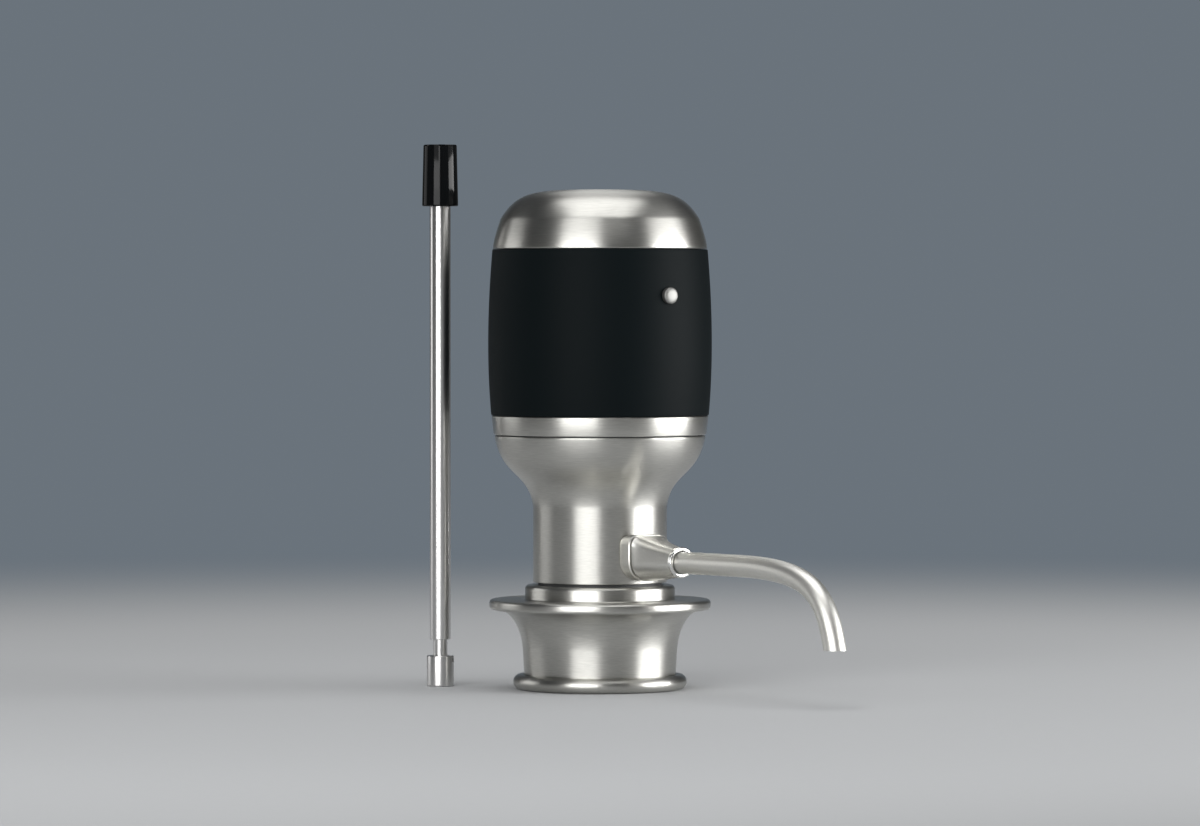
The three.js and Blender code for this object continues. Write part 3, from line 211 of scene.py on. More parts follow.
class FinishSettings(bpy.types.PropertyGroup):
    steel: colour("Steel", "Brushed stainless steel", (0.5, 0.494, 0.466))
    drawn_steel: colour("Drawn steel", "Draw tube and its foot", (0.75, 0.742, 0.735))
    cast_steel: colour("Cast steel", "Spout, boss and plate", (0.73, 0.722, 0.685))
    polished_steel: colour("Polished steel", "Polished ring, foot and button", (0.8, 0.798, 0.78))
    band: colour("Band", "Soft black of the band", (0.0021, 0.0043, 0.0051))
    gloss: colour("Gloss", "Glossy black of the connector", (0.004, 0.0045, 0.005))
    silicone: colour("Silicone", "Dark silicone", (0.022, 0.023, 0.024))
    brushing: size("Brushing", "Width of the brushed streaks", 0.00022)


class StageSettings(bpy.types.PropertyGroup):
    floor: colour("Floor", "Floor near the object", (0.48, 0.488, 0.496))
    backdrop: colour("Backdrop", "Distance and horizon", (0.145, 0.172, 0.2))
    room: colour("Room", "Dim room to the sides and behind the camera", (0.067, 0.067, 0.062))
    ceiling: colour("Ceiling", "World above the lamps", (0.04, 0.043, 0.047))
    distance: size("Camera distance", "Distance of the camera from the body's axis", 1.7005)
    height: size("Camera height", "Height of the camera", 0.114)
    aim: size("Aim", "Height of the point that the camera looks at", 0.0788)
    floor_radius: size("Floor radius", "Radius of the floor", 9)
    fade_start: size("Fade start", "Distance where the floor starts to fade into the surroundings", 0.3)
    fade_end: size("Fade end", "Distance where the floor has faded", 0.9)
    azimuth: turn("Camera azimuth", "Angle of the camera about the axis, from the front to the left", 38.0)
    lens: FloatProperty(name="Lens", description="Focal length in millimetres", default=178.8, min=1)


class AeratorSettings(bpy.types.PropertyGroup):
    common: PointerProperty(type=CommonSettings)
    stand: PointerProperty(type=StandSettings)
    body: PointerProperty(type=BodySettings)
    button: PointerProperty(type=ButtonSettings)
    spout: PointerProperty(type=SpoutSettings)
    seal: PointerProperty(type=SealSettings)
    holder: PointerProperty(type=HolderSettings)
    tube: PointerProperty(type=TubeSettings)
    finish: PointerProperty(type=FinishSettings)
    stage: PointerProperty(type=StageSettings)


def settings():
    """The settings of the scene."""
    return bpy.context.scene.aerator


# Outlines, as lists of (radius, height) or (x, y) points

def bezier(start, first, second, end, steps=24):
    """Points along a cubic curve."""
    corners = [Vector((x, y, 0)) for x, y in (start, first, second, end)]
    return [(p.x, p.y) for p in interpolate_bezier(*corners, steps + 1)]


def handles(start, end, shares):
    """Points at given shares of the way across and of the way up between two points."""
    (x, y), (right, top) = start, end
    return [(x + (right - x) * across, y + (top - y) * up) for across, up in shares]


def rod(radius, start, end):
    """The profile of a plain rod, which cuts a round hole."""
    return [(0, start), (radius, start), (radius, end), (0, end)]


def arc(x, y, radius, start, end, steps=12):
    """Points along an arc, between two angles in degrees."""
    angles = [math.radians(start + (end - start) * i / steps) for i in range(steps + 1)]
    return [(x + radius * math.cos(a), y + radius * math.sin(a)) for a in angles]


def rounded(corners, steps=5):
    """Rounds the corners of an outline. A corner is (x, y) or (x, y, radius)."""
    points = []
    for i, (x, y, *radius) in enumerate(corners):
        here = Vector((x, y))
        if not radius:
            points.append((x, y))
            continue
        back = (Vector(corners[i - 1][:2]) - here).normalized()
        ahead = (Vector(corners[(i + 1) % len(corners)][:2]) - here).normalized()
        half = back.angle(ahead) / 2
        centre = here + (back + ahead).normalized() * radius[0] / math.sin(half)
        first = here + back * radius[0] / math.tan(half) - centre
        last = here + ahead * radius[0] / math.tan(half) - centre
        sweep = math.atan2(first.x * last.y - first.y * last.x, first.dot(last))
        for k in range(steps + 1):
            spoke = Matrix.Rotation(sweep * k / steps, 2) @ first
            points.append(tuple(centre + spoke))
    return points


def inset(points, wall):
    """Moves an open outline sideways, to its left, by a wall's thickness."""
    moved = []
    for i, (x, y) in enumerate(points):
        before = points[max(i - 1, 0)]
        after = points[min(i + 1, len(points) - 1)]
        run = math.hypot(after[0] - before[0], after[1] - before[1])
        moved.append((x - (after[1] - before[1]) / run * wall, y + (after[0] - before[0]) / run * wall))
    return moved


def ring_points(radius, count):
    """Points round a circle."""
    turns = [2 * math.pi * i / count for i in range(count)]
    return [(radius * math.cos(t), radius * math.sin(t)) for t in turns]


# Meshes

def stitch(rings, closed):
    """Joins like rings of points into a closed mesh: a pipe if closed, otherwise with its ends filled."""
    made = bmesh.new()
    loops = [[made.verts.new(point) for point in ring] for ring in rings]
    if closed:
        loops.append(loops[0])
    for lower, upper in zip(loops, loops[1:]):
        for k in range(len(lower)):
            following = (k + 1) % len(lower)
            made.faces.new((lower[k], lower[following], upper[following], upper[k]))
    if not closed:
        made.faces.new(reversed(loops[0]))
        made.faces.new(loops[-1])
    return made


def lathe(profile, sides=160, centre=(0, 0)):
    """Turns a closed profile, or one that starts and ends on the axis, about a vertical axis."""
    made = bmesh.new()
    rows = []
    for radius, height in profile:
        if radius == 0:
            rows.append([made.verts.new((*centre, height))])
            continue
        around = ring_points(radius, sides)
        rows.append([made.verts.new((centre[0] + x, centre[1] + y, height)) for x, y in around])
    pairs = list(zip(rows, rows[1:]))
    if profile[0][0] > 0:
        pairs.append((rows[-1], rows[0]))
    for lower, upper in pairs:
        for k in range(sides):
            following = (k + 1) % sides
            quad = [
                lower[k % len(lower)],
                lower[following % len(lower)],
                upper[following % len(upper)],
                upper[k % len(upper)],
            ]
            made.faces.new(dict.fromkeys(quad))
    return made


def front_bar(profile, height, sides=96):
    """Turns a profile of (radius, distance from the axis) about the front axis, at a height."""
    made = lathe(profile, sides)
    made.transform(Matrix.Translation((0, 0, height)) @ Matrix.Rotation(math.pi / 2, 4, "X"))
    return made


def box_tool(width, depth, height, centre, turned=0):
    """A block that cuts a slot."""
    made = bmesh.new()
    bmesh.ops.create_cube(made, size=1)
    scale = Matrix.Diagonal((width, depth, height, 1))
    made.transform(Matrix.Translation(centre) @ Matrix.Rotation(turned, 4, "Z") @ scale)
    return made


def blocks_round(centre, reach, height, block, count=6):
    """Blocks on a circle that cut slots. A block is its size outwards, around and up."""
    tools = []
    for i in range(count):
        angle = 2 * math.pi * i / count
        spot = (centre[0] + reach * math.cos(angle), centre[1] + reach * math.sin(angle), height)
        tools.append(box_tool(*block, spot, angle))
    return tools


def helix_bars(reach, middle, height, angles, climb, steps=24):
    """Three bars round the axis, each along a helix between two angles."""
    inner, outer = reach
    start, end = angles
    bars = []
    for i in range(3):
        rings = []
        for k in range(steps + 1):
            angle = start + (end - start) * k / steps
            turned = angle + math.radians(120 * i)
            rings.append([
                (x * math.cos(turned), x * math.sin(turned), middle + climb * angle + side * height / 2)
                for x, side in ((inner, -1), (outer, -1), (outer, 1), (inner, 1))
            ])
        bars.append(stitch(rings, False))
    return bars


def as_object(name, made):
    """Turns a bmesh into an object, with its faces outwards."""
    bmesh.ops.recalc_face_normals(made, faces=made.faces)
    mesh = bpy.data.meshes.new(name)
    made.to_mesh(mesh)
    made.free()
    piece = bpy.data.objects.new(name, mesh)
    bpy.context.scene.collection.objects.link(piece)
    return piece


def carve(piece, tools, operation="DIFFERENCE"):
    """Cuts the tools out of a piece, or joins them to it."""
    for made in tools:
        tool = as_object("tool", made)
        change = piece.modifiers.new("cut", "BOOLEAN")
        change.operation = operation
        change.solver = "EXACT"
        change.object = tool
        bpy.context.view_layer.update()
        result = bpy.data.meshes.new_from_object(piece.evaluated_get(bpy.context.evaluated_depsgraph_get()))
        piece.modifiers.remove(change)
        piece.data = result
        bpy.data.objects.remove(tool)


def shade(piece, sharp=32):
    """Smooth shading that breaks at edges sharper than an angle in degrees."""
    made = bmesh.new()
    made.from_mesh(piece.data)
    for face in made.faces:
        face.smooth = True
    for edge in made.edges:
        edge.smooth = edge.calc_face_angle(0) < math.radians(sharp)
    made.to_mesh(piece.data)
    made.free()


def dress(piece, node, finish=None):
    """Shades a piece, gives it a node's finish and body, and has it stand for that node."""
    slot = slot_of[node]
    shade(piece)
    piece.data.materials.clear()
    piece.data.materials.append(material(finish or slot))
    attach(piece, body_of[node])
    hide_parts(node)
    return piece


# Materials

def add(tree, kind, values=(), **choices):
    """Adds a shader node. A value is a number, a colour or another node's output."""
    made = tree.nodes.new("ShaderNode" + kind)
    for name, choice in choices.items():
        setattr(made, name, choice)
    for name, value in dict(values).items():
        if isinstance(value, bpy.types.NodeSocket):
            tree.links.new(value, made.inputs[name])
        else:
            made.inputs[name].default_value = value
    return made


def begin(name):
    """A material with only its principled shader and its output."""
    made = bpy.data.materials.new(name)
    made.use_nodes = True
    made.node_tree.nodes.clear()
    tree = made.node_tree
    shader = add(tree, "BsdfPrincipled")
    add(tree, "OutputMaterial", {"Surface": shader.outputs["BSDF"]})
    return made, tree, shader


def mixed(tree, factor, first, second):
    """A colour that a factor from 0 to 1 moves between two colours."""
    made = add(tree, "Mix", data_type="RGBA")
    tree.links.new(factor, made.inputs[0])
    made.inputs[6].default_value = (*first, 1)
    made.inputs[7].default_value = (*second, 1)
    return made.outputs[2]


def ramp(tree, value, start, end):
    """A smooth rise from 0 to 1 while a value goes from start to end."""
    values = {"Value": value, "From Min": start, "From Max": end}
    return add(tree, "MapRange", values, interpolation_type="SMOOTHSTEP").outputs["Result"]


def object_place(tree):
    """A point's place in the object's own frame."""
    return add(tree, "TexCoord").outputs["Object"]


def polar(tree, place):
    """A place's distance from the vertical axis, and its direction from it."""
    flat = add(tree, "VectorMath", {0: place, 1: (1, 1, 0)}, operation="MULTIPLY").outputs["Vector"]
    distance = add(tree, "VectorMath", {0: flat}, operation="LENGTH").outputs["Value"]
    return distance, add(tree, "VectorMath", {0: flat}, operation="NORMALIZE").outputs["Vector"]


def toned(base, low, high):
    """A colour made darker and made lighter."""
    return [tuple(min(1, channel * amount) for channel in base) for amount in (low, high)]


# Patterns, each of which makes its nodes in a material's tree

def turned_streaks(width, length, detail=3.0):
    """Noise in fine lines that run round the body's axis, as brushing on a lathe leaves."""
    def pattern(tree):
        place = object_place(tree)
        radius, way = polar(tree, place)
        around = add(tree, "VectorMath", {0: way, 3: length}, operation="SCALE")
        sides = add(tree, "SeparateXYZ", {"Vector": around.outputs["Vector"]})
        height = add(tree, "SeparateXYZ", {"Vector": place}).outputs["Z"]
        rise = add(tree, "Math", {0: height, 1: 1 / width}, operation="MULTIPLY").outputs[0]
        reach = add(tree, "Math", {0: radius, 1: 1 / width}, operation="MULTIPLY").outputs[0]
        spot = add(tree, "CombineXYZ", {"X": sides.outputs["X"], "Y": sides.outputs["Y"], "Z": rise})
        values = {"Vector": spot.outputs["Vector"], "W": reach, "Scale": 1.0, "Detail": detail}
        return add(tree, "TexNoise", values, noise_dimensions="4D").outputs["Fac"]
    return pattern


def grain(scale, detail=2.0, stretch=(1, 1, 1)):
    """Noise of a given number of features to the metre, which can be stretched along an axis."""
    def pattern(tree):
        spot = add(tree, "Mapping", {"Vector": object_place(tree), "Scale": stretch}).outputs["Vector"]
        return add(tree, "TexNoise", {"Vector": spot, "Scale": scale, "Detail": detail}).outputs["Fac"]
    return pattern


def wound_wire(tree):
    """Fine turns of wire. Its low parts are the grooves between turns, which the winding's finish paints darker as
    painted shade.
    """
    values = {"Vector": object_place(tree), "Scale": 700.0, "Distortion": 0.6}
    return add(tree, "TexWave", values, bands_direction="Z").outputs["Fac"]


def board_tracks(tree):
    """Faint tracks under solder mask."""
    values = {"Vector": object_place(tree), "Scale": 420.0, "Mortar Size": 0.03}
    return add(tree, "TexBrick", values).outputs["Fac"]


def surface(name, colours, roughness, relief, pattern, tint=None, polish=None, brushing=0, **sockets):
    """A material whose colour, roughness and relief follow a pattern.

    It moves between two colours and two values of roughness, and relief is the bump's strength and depth.
    Tint and polish are patterns of their own for the colour and the roughness. Brushing stretches the
    highlights up and down. The rest are the shader's own sockets, with underscores for spaces.
    """
    made, tree, shader = begin(name)
    height = pattern(tree)
    tint = tint(tree) if tint else height
    polish = polish(tree) if polish else height
    for socket, value in sockets.items():
        shader.inputs[socket.replace("_", " ")].default_value = value
    if brushing:
        shader.inputs["Anisotropic"].default_value = brushing
        shader.inputs["Anisotropic Rotation"].default_value = 0.25
        tangent = add(tree, "Tangent", direction_type="RADIAL", axis="Z")
        tree.links.new(tangent.outputs["Tangent"], shader.inputs["Tangent"])
    tree.links.new(mixed(tree, tint, *colours), shader.inputs["Base Color"])
    smooth, rough = roughness
    level = add(tree, "MapRange", {"Value": polish, "To Min": smooth, "To Max": rough})
    tree.links.new(level.outputs["Result"], shader.inputs["Roughness"])
    strength, depth = relief
    raised = add(tree, "Bump", {"Height": height, "Strength": strength, "Distance": depth})
    tree.links.new(raised.outputs["Normal"], shader.inputs["Normal"])
    return made


def plain_metal(base, roughness):
    """Machined or stamped metal."""
    return dict(
        colours=toned(base, 0.85, 1.1), roughness=(roughness - 0.06, roughness + 0.08),
        relief=(0.1, 0.00003), pattern=grain(1800.0, 4.0), Metallic=1.0,
    )


def moulded(base, roughness, scale, depth, specular=0.5):
    """Moulded plastic or rubber with a fine texture."""
    return dict(
        colours=toned(base, 0.88, 1.12), roughness=(roughness - 0.05, roughness + 0.05),
        relief=(0.25, depth), pattern=grain(scale), tint=grain(35.0), Specular_IOR_Level=specular,
    )


def finishes():
    """What each finish is made of."""
    chosen = settings().finish
    return {
        # Stainless steel brushed round the axis
        "brushed_steel": dict(
            colours=toned(chosen.steel, 0.78, 1.2), roughness=(0.32, 0.36), relief=(0.42, 0.00003),
            pattern=turned_streaks(chosen.brushing, 9.0), polish=grain(60.0), brushing=0.7, Metallic=1.0,
        ),
        # Drawn tube with faint marks
        "satin_tube": dict(
            colours=toned(chosen.drawn_steel, 0.95, 1.05), roughness=(0.31, 0.35), relief=(0.06, 0.00002),
            pattern=grain(2600.0, 3.0), brushing=0.8, Metallic=1.0,
        ),
        # Cast or bent steel, the same in every direction
        "satin_steel": dict(
            colours=toned(chosen.cast_steel, 0.9, 1.06), roughness=(0.38, 0.46), relief=(0.08, 0.00002),
            pattern=grain(1900.0, 4.0), Metallic=1.0,
        ),
        # Polished steel with faint turning marks
        "bright_steel": dict(
            colours=toned(chosen.polished_steel, 0.96, 1.03), roughness=(0.18, 0.22), relief=(0.01, 0.00001),
            pattern=grain(900.0, 3.0), Metallic=1.0,
        ),
        # The button's steel is painted darker than steel is, as painted shade that tones down the lamps' highlight
        # on it
        "button_steel_painted_darker": plain_metal((0.26, 0.26, 0.25), 0.5),
        "plain_steel": plain_metal((0.52, 0.51, 0.49), 0.34),
        "brass": plain_metal((0.7, 0.53, 0.27), 0.3),
        # Enamelled wire, with painted shade: its colour is darker in the grooves between turns
        "copper_winding": dict(
            colours=((0.3, 0.12, 0.05), (0.72, 0.36, 0.17)), roughness=(0.4, 0.25), relief=(0.5, 0.0001),
            pattern=wound_wire, Metallic=1.0,
        ),
        "soft_black": moulded(chosen.band, 0.56, 5200.0, 0.00003, 0.06),
        # Glossy plastic with faint flow marks
        "gloss_black": dict(
            colours=toned(chosen.gloss, 0.8, 1.2), roughness=(0.06, 0.1), relief=(0.05, 0.0001),
            pattern=grain(160.0, 2.0, (1, 1, 0.3)), Specular_IOR_Level=0.1,
        ),
        "dark_silicone": moulded(chosen.silicone, 0.56, 3000.0, 0.00003),
        "inner_plastic": moulded((0.05, 0.053, 0.057), 0.5, 2600.0, 0.00004),
        "pale_silicone": moulded((0.66, 0.67, 0.68), 0.45, 1400.0, 0.00003),
        "board_green": dict(
            colours=((0.012, 0.085, 0.035), (0.03, 0.16, 0.07)), roughness=(0.28, 0.38),
            relief=(0.2, 0.00003), pattern=board_tracks, polish=grain(900.0),
        ),
        # Shrink wrap with a metallic sheen
        "cell_wrap": dict(
            colours=((0.075, 0.125, 0.18), (0.11, 0.17, 0.24)), roughness=(0.25, 0.36),
            relief=(0.08, 0.0001), pattern=grain(220.0, 3.0, (1, 1, 0.2)), Metallic=0.6,
        ),
        "red_lead": moulded((0.42, 0.022, 0.015), 0.42, 1800.0, 0.00002),
        "black_lead": moulded((0.012, 0.012, 0.012), 0.42, 1800.0, 0.00002),
    }


made_finishes = {}


def material(slot):
    """The finish of a material slot, made once."""
    if slot not in made_finishes:
        made_finishes[slot] = surface(f"{slot}_finish", **finishes()[slot])
    return made_finishes[slot]


# Pieces

# How far a cutting tool reaches past the surface that it passes through
past = 1.1

# Curve handles, as shares of the way across and of the way up
flare_handles = ((0.07, 0.5), (0.36, 0.955))
bell_handles = ((0.13, 0.5), (0.8, 0.4))
cap_side_handles = ((0.9935, 0.31), (0.9575, 0.69))
cap_crown_handles = ((0.762, 0.974), (0.61, 1))
# The cap's radius at its crease, as a share of its full radius
cap_crease_share = 0.927
# Half of the angle that a lug spans, and how far its root stays inside the cap, as a share of the wall
lug_half = math.radians(6)
lug_root = 0.9
# Where the band bulges most, as a share of its height
band_bulge = 0.45
# A curve that one point pulls has both handles this far on the way to it
pulled = ((2 / 3, 2 / 3),)
# How fast the boss narrows and how fast its shield shape turns round, as powers of the way along
boss_taper = 0.85
boss_rounding = 0.4


class PieceOperator:
    """What the operators of this file share."""

    bl_options = {"REGISTER", "UNDO"}

    def execute(self, context):
        """Makes the pieces."""
        self.make(context.scene.aerator)
        return {"FINISHED"}


class AERATOR_OT_stand(PieceOperator, bpy.types.Operator):
    """Adds the stand: a metal spool with a bead, a flange and a ring, on a foot pad"""

    bl_idname = "aerator.stand"
    bl_label = "Stand"

    def make(self, all_settings):
        stand, common = all_settings.stand, all_settings.common
        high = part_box("stand_shell")[1]
        pad_low, pad_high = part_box("stand_foot")
        bead = stand.bead_height / 2
        rim = stand.rim_thickness / 2
        rim_top = stand.flange_bottom + stand.rim_thickness
        lip = stand.rim_round
        pad_recess = pad_high.x + common.fit
        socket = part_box("bottle_seal")[1].x + common.fit
        rim_centre = high.x - rim
        waist = (stand.waist_radius, stand.waist_top)
        flare = bezier(
            waist,
            *handles(waist, (rim_centre, stand.flange_bottom), flare_handles),
            (rim_centre - rim * stand.crease_reach, stand.flange_bottom + stand.crease),
        )
        bead_end, rim_start = 122, -110
        spool = rounded([
            (0, pad_high.z + common.fit),
            (pad_recess, pad_high.z + common.fit),
            (pad_recess, stand.bead_bottom),
            *arc(stand.bead_radius - bead, stand.bead_bottom + bead, bead, -90, bead_end, 26),
            *flare,
            *arc(high.x - lip, stand.flange_bottom + lip, lip, rim_start, 0, 10),
            *arc(high.x - lip, rim_top - lip, lip, 0, 90, 10),
            (stand.ring_radius, rim_top, stand.join_round),
            (stand.ring_radius, high.z, stand.ring_round),
            (socket, high.z, stand.join_round),
            (socket, stand.socket_floor, stand.join_round),
            (0, stand.socket_floor),
        ])
        dress(as_object("stand_spool", lathe(spool)), "stand_shell")
        edge = common.edge
        pad = rounded([
            (0, pad_low.z + edge),
            (pad_high.x * stand.pad_flat, pad_low.z + edge),
            (pad_high.x * stand.pad_step, pad_low.z),
            (pad_high.x, pad_low.z, edge),
            (pad_high.x, pad_high.z, edge),
            (0, pad_high.z),
        ])
        dress(as_object("foot_pad", lathe(pad)), "stand_foot")


class AERATOR_OT_bell(PieceOperator, bpy.types.Operator):
    """Adds the neck with its bell, and the trim ring on top of it"""

    bl_idname = "aerator.bell"
    bl_label = "Neck, bell and trim ring"

    def make(self, all_settings):
        body, common = all_settings.body, all_settings.common
        low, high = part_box("bell_shell")
        edge = common.edge
        ledge_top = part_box("chassis")[0].z - common.fit
        ledge_bottom = ledge_top - body.ledge_thickness
        neck, mouth = (body.neck_radius, body.neck_top), (high.x, high.z)
        curve = bezier(neck, *handles(neck, mouth, bell_handles), mouth, 36)
        bore = body.neck_radius - body.wall
        rim = high.x - body.rim_wall
        lining = [p for p in inset(curve, body.wall) if p[0] > bore and p[1] < ledge_bottom - body.wall]
        profile = rounded([
            (body.neck_radius, low.z, edge),
            *curve[:-1],
            (high.x, high.z, edge),
            (rim, high.z),
            (rim, ledge_top),
            (body.ledge_radius, ledge_top),
            (body.ledge_radius, ledge_bottom),
            *reversed(lining),
            (bore, body.neck_top),
            (bore, low.z),
        ])
        bell = as_object("neck_and_bell", lathe(profile))
        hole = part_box("spout_tube")[1].x + common.fit
        centre = (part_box("boss_ring")[0].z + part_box("boss_ring")[1].z) / 2
        carve(bell, [front_bar(rod(hole, bore / 2, body.neck_radius * past), centre)])
        dress(bell, "bell_shell")
        low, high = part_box("trim_ring")
        ring = rounded([
            (rim, low.z),
            (body.ring_bottom_radius, low.z, edge),
            (high.x, high.z, edge),
            (rim, high.z),
        ])
        dress(as_object("trim_band", lathe(ring)), "trim_ring")


class AERATOR_OT_band(PieceOperator, bpy.types.Operator):
    """Adds the black band with the button's hole, and the push button"""

    bl_idname = "aerator.band"
    bl_label = "Band and button"

    def make(self, all_settings):
        body, button, common = all_settings.body, all_settings.button, all_settings.common
        low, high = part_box("barrel")
        button_low, button_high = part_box("button_cap")
        bore = body.band_top_radius - body.band_wall
        bottom, top = (body.band_bottom_radius, low.z), (body.band_top_radius, high.z)
        pull = (2 * high.x - (bottom[0] + top[0]) / 2, low.z + (high.z - low.z) * band_bulge)
        curve = bezier(bottom, *handles(bottom, pull, pulled), *handles(top, pull, pulled), top, 48)
        profile = rounded([
            (bore, low.z),
            (*curve[0], common.edge),
            *curve[1:-1],
            (*curve[-1], common.edge),
            (bore, high.z),
        ])
        band = as_object("black_band", lathe(profile, 256))
        centre = (button_low.z + button_high.z) / 2
        face = -button_low.y
        radius = button.radius
        carve(band, [front_bar(rod(radius + common.fit / 2, bore / 2, high.x * past), centre, 64)])
        dress(band, "barrel")
        back = -button_high.y
        flange = button_high.x
        shoulder = back + button.flange
        side = face - button.dome_side * button.dome
        crown = bezier(
            (radius, side), (radius, face - button.dome), (radius * button.dome_flat, face), (0, face), 16
        )
        profile = [(0, back), (flange, back), (flange, shoulder), (radius, shoulder), *crown]
        # The button's finish is steel painted darker, as painted shade
        dress(as_object("push_button", front_bar(profile, centre)), "button_cap", "button_steel_painted_darker")


class AERATOR_OT_cap(PieceOperator, bpy.types.Operator):
    """Adds the battery cap with its lugs and its screw post"""

    bl_idname = "aerator.cap"
    bl_label = "Battery cap"

    def make(self, all_settings):
        body, common = all_settings.body, all_settings.common
        low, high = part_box("battery_cap")
        edge = common.edge
        crease = low.z + body.cap_crease
        turn_in = (high.x * cap_crease_share, crease)
        side_handles = handles((0, low.z), (high.x, crease), cap_side_handles)
        side = bezier((high.x, low.z + 2 * edge), *side_handles, turn_in, 16)
        crown_handles = handles((0, crease), (high.x, high.z), cap_crown_handles)
        crown = bezier(turn_in, *crown_handles, (0, high.z), 40)
        post_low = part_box("cap_plate")[1].z + common.fit
        post = body.post_radius
        hole = body.screw_radius + common.fit / 2
        hole_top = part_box("cap_screw")[1].z + common.fit
        lining = [p for p in inset(side + crown[1:], body.cap_wall) if p[0] > post]
        profile = rounded([
            (0, hole_top),
            (hole, hole_top),
            (hole, post_low),
            (post, post_low),
            (post, high.z - body.cap_wall),
            *reversed(lining),
            (high.x - body.cap_wall, low.z),
            (high.x, low.z, edge),
            *side,
            *crown[1:],
        ])
        cap = as_object("domed_cap", lathe(profile))
        carve(cap, self.lugs(body, high.x, low.z), "UNION")
        dress(cap, "battery_cap")

    def lugs(self, body, radius, low):
        """Three steep bars inside the cap, which climb the grooves of the holder."""
        reach = (body.lug_reach, radius - lug_root * body.cap_wall)
        angles = (-lug_half, lug_half)
        return helix_bars(reach, low + body.lug_rise, body.lug_height, angles, body.lug_climb)


class AERATOR_OT_spout(PieceOperator, bpy.types.Operator):
    """Adds the plate on the neck, the tapered boss, its bright ring and the bent tube"""

    bl_idname = "aerator.spout"
    bl_label = "Spout"

    def make(self, all_settings):
        spout, common = all_settings.spout, all_settings.common
        ring_low, ring_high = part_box("boss_ring")
        centre = (ring_low.z + ring_high.z) / 2
        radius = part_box("spout_tube")[1].x
        hole = radius + common.fit
        neck = all_settings.body.neck_radius
        self.make_plate(spout, common, centre, hole, neck)
        self.make_boss(spout, common, centre, hole)
        self.make_ring(ring_low, ring_high, common, centre, hole)
        self.make_tube(spout, centre, radius)

    def outline(self, spout, gap, steps=8):
        """The shield shape of the plate and the boss, made smaller by a gap."""
        half = spout.plate_half - gap
        top = spout.plate_top - gap
        bottom = spout.plate_bottom - gap
        return rounded([
            (half, top, spout.top_corner),
            (-half, top, spout.top_corner),
            (-half, -bottom, spout.bottom_corner - gap),
            (half, -bottom, spout.bottom_corner - gap),
        ], steps)

    def make_plate(self, spout, common, centre, hole, neck):
        edge = common.edge
        front = spout.plate_front
        sunk, whole = self.outline(spout, spout.gap), self.outline(spout, 0)
        rings = [[(x, -neck / 2, centre + y) for x, y in sunk]]
        step = 1.2 * spout.gap
        for outline, rise in ((sunk, spout.gap), (whole, step)):
            on_neck = [math.sqrt((neck + rise) ** 2 - x ** 2) for x, y in whole]
            rings.append([(x, -reach, centre + y) for (x, y), reach in zip(outline, on_neck)])
        # The front edge is broken in two steps
        for inward in (1, 0.3, 0):
            outline = self.outline(spout, edge * (1 - inward))
            rings.append([(x, edge * inward - front, centre + y) for x, y in outline])
        plate = as_object("spout_plate", stitch(rings, False))
        seat = lathe(rod(neck + common.seam, 0, centre * 2))
        carve(plate, [seat, front_bar(rod(hole, 0, front * past), centre)])
        dress(plate, "spout_flange", "satin_steel")

    def make_boss(self, spout, common, centre, hole):
        start = -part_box("spout_boss")[1].y
        end = -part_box("spout_boss")[0].y
        edge = common.edge
        base = self.outline(spout, spout.boss_step)
        neck = self.outline(spout, spout.groove)
        narrowing = spout.boss_end_radius / spout.boss_radius - 1
        steps = 24
        rings = [
            [(x, -start, centre + y) for x, y in neck],
            [(x, -start - spout.groove / 2, centre + y) for x, y in neck],
        ]
        hair = 0.00002
        start += spout.groove / 2 + hair
        for i in range(steps + 1):
            along = i / steps
            reach = start + (end - start) * along
            shrink = edge * max(0, 1 - (reach - start) / edge)
            ring = []
            for x, y in base:
                length = math.hypot(x, y)
                rounder = length + (spout.boss_radius - length) * along ** boss_rounding
                wanted = rounder * (1 + narrowing * along ** boss_taper) - shrink
                ring.append((x * wanted / length, -reach, centre + y * wanted / length))
            rings.append(ring)
        boss = as_object("spout_cone", stitch(rings, False))
        carve(boss, [front_bar(rod(hole, start * 0.8, end * past), centre)])
        dress(boss, "spout_boss", "satin_steel")

    def make_ring(self, low, high, common, centre, hole):
        start, end = -high.y, -low.y
        edge = common.edge * 2
        profile = rounded([
            (hole, start),
            (high.x, start, edge / 4),
            (high.x, end, edge),
            (hole, end, edge / 4),
        ], 8)
        dress(as_object("spout_ring", front_bar(profile, centre)), "boss_ring")

    def make_tube(self, spout, centre, radius):
        start = -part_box("spout_tube")[1].y
        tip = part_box("spout_tube")[0].z
        pull = (centre - tip) * spout.bend_drop
        bend = spout.reach - spout.straight
        curve = bezier(
            (spout.straight, centre),
            (spout.straight + bend * spout.bend_run, centre),
            (spout.reach - pull * math.sin(spout.lean), tip + pull * math.cos(spout.lean)),
            (spout.reach, tip),
            64,
        )
        steps = 12
        straight = [(start + (spout.straight - start) * i / steps, centre) for i in range(steps)]
        points = straight + curve
        sections = []
        for size_now in (radius, radius - spout.wall):
            rings = []
            for i, (reach, height) in enumerate(points):
                before = points[max(i - 1, 0)]
                after = points[min(i + 1, len(points) - 1)]
                heading = Vector((after[0] - before[0], after[1] - before[1])).normalized()
                is_tip = i == len(points) - 1
                ring = []
                for x, y in ring_points(size_now, 72):
                    out = reach - heading.y * y
                    up = height + heading.x * y
                    slide = (tip - up) / heading.y if is_tip else 0
                    ring.append((x, -(out + heading.x * slide), up + heading.y * slide))
                rings.append(ring)
            sections.append(rings)
        outer, inner = sections
        dress(as_object("bent_spout", stitch(outer + inner[::-1], True)), "spout_tube", "satin_steel")


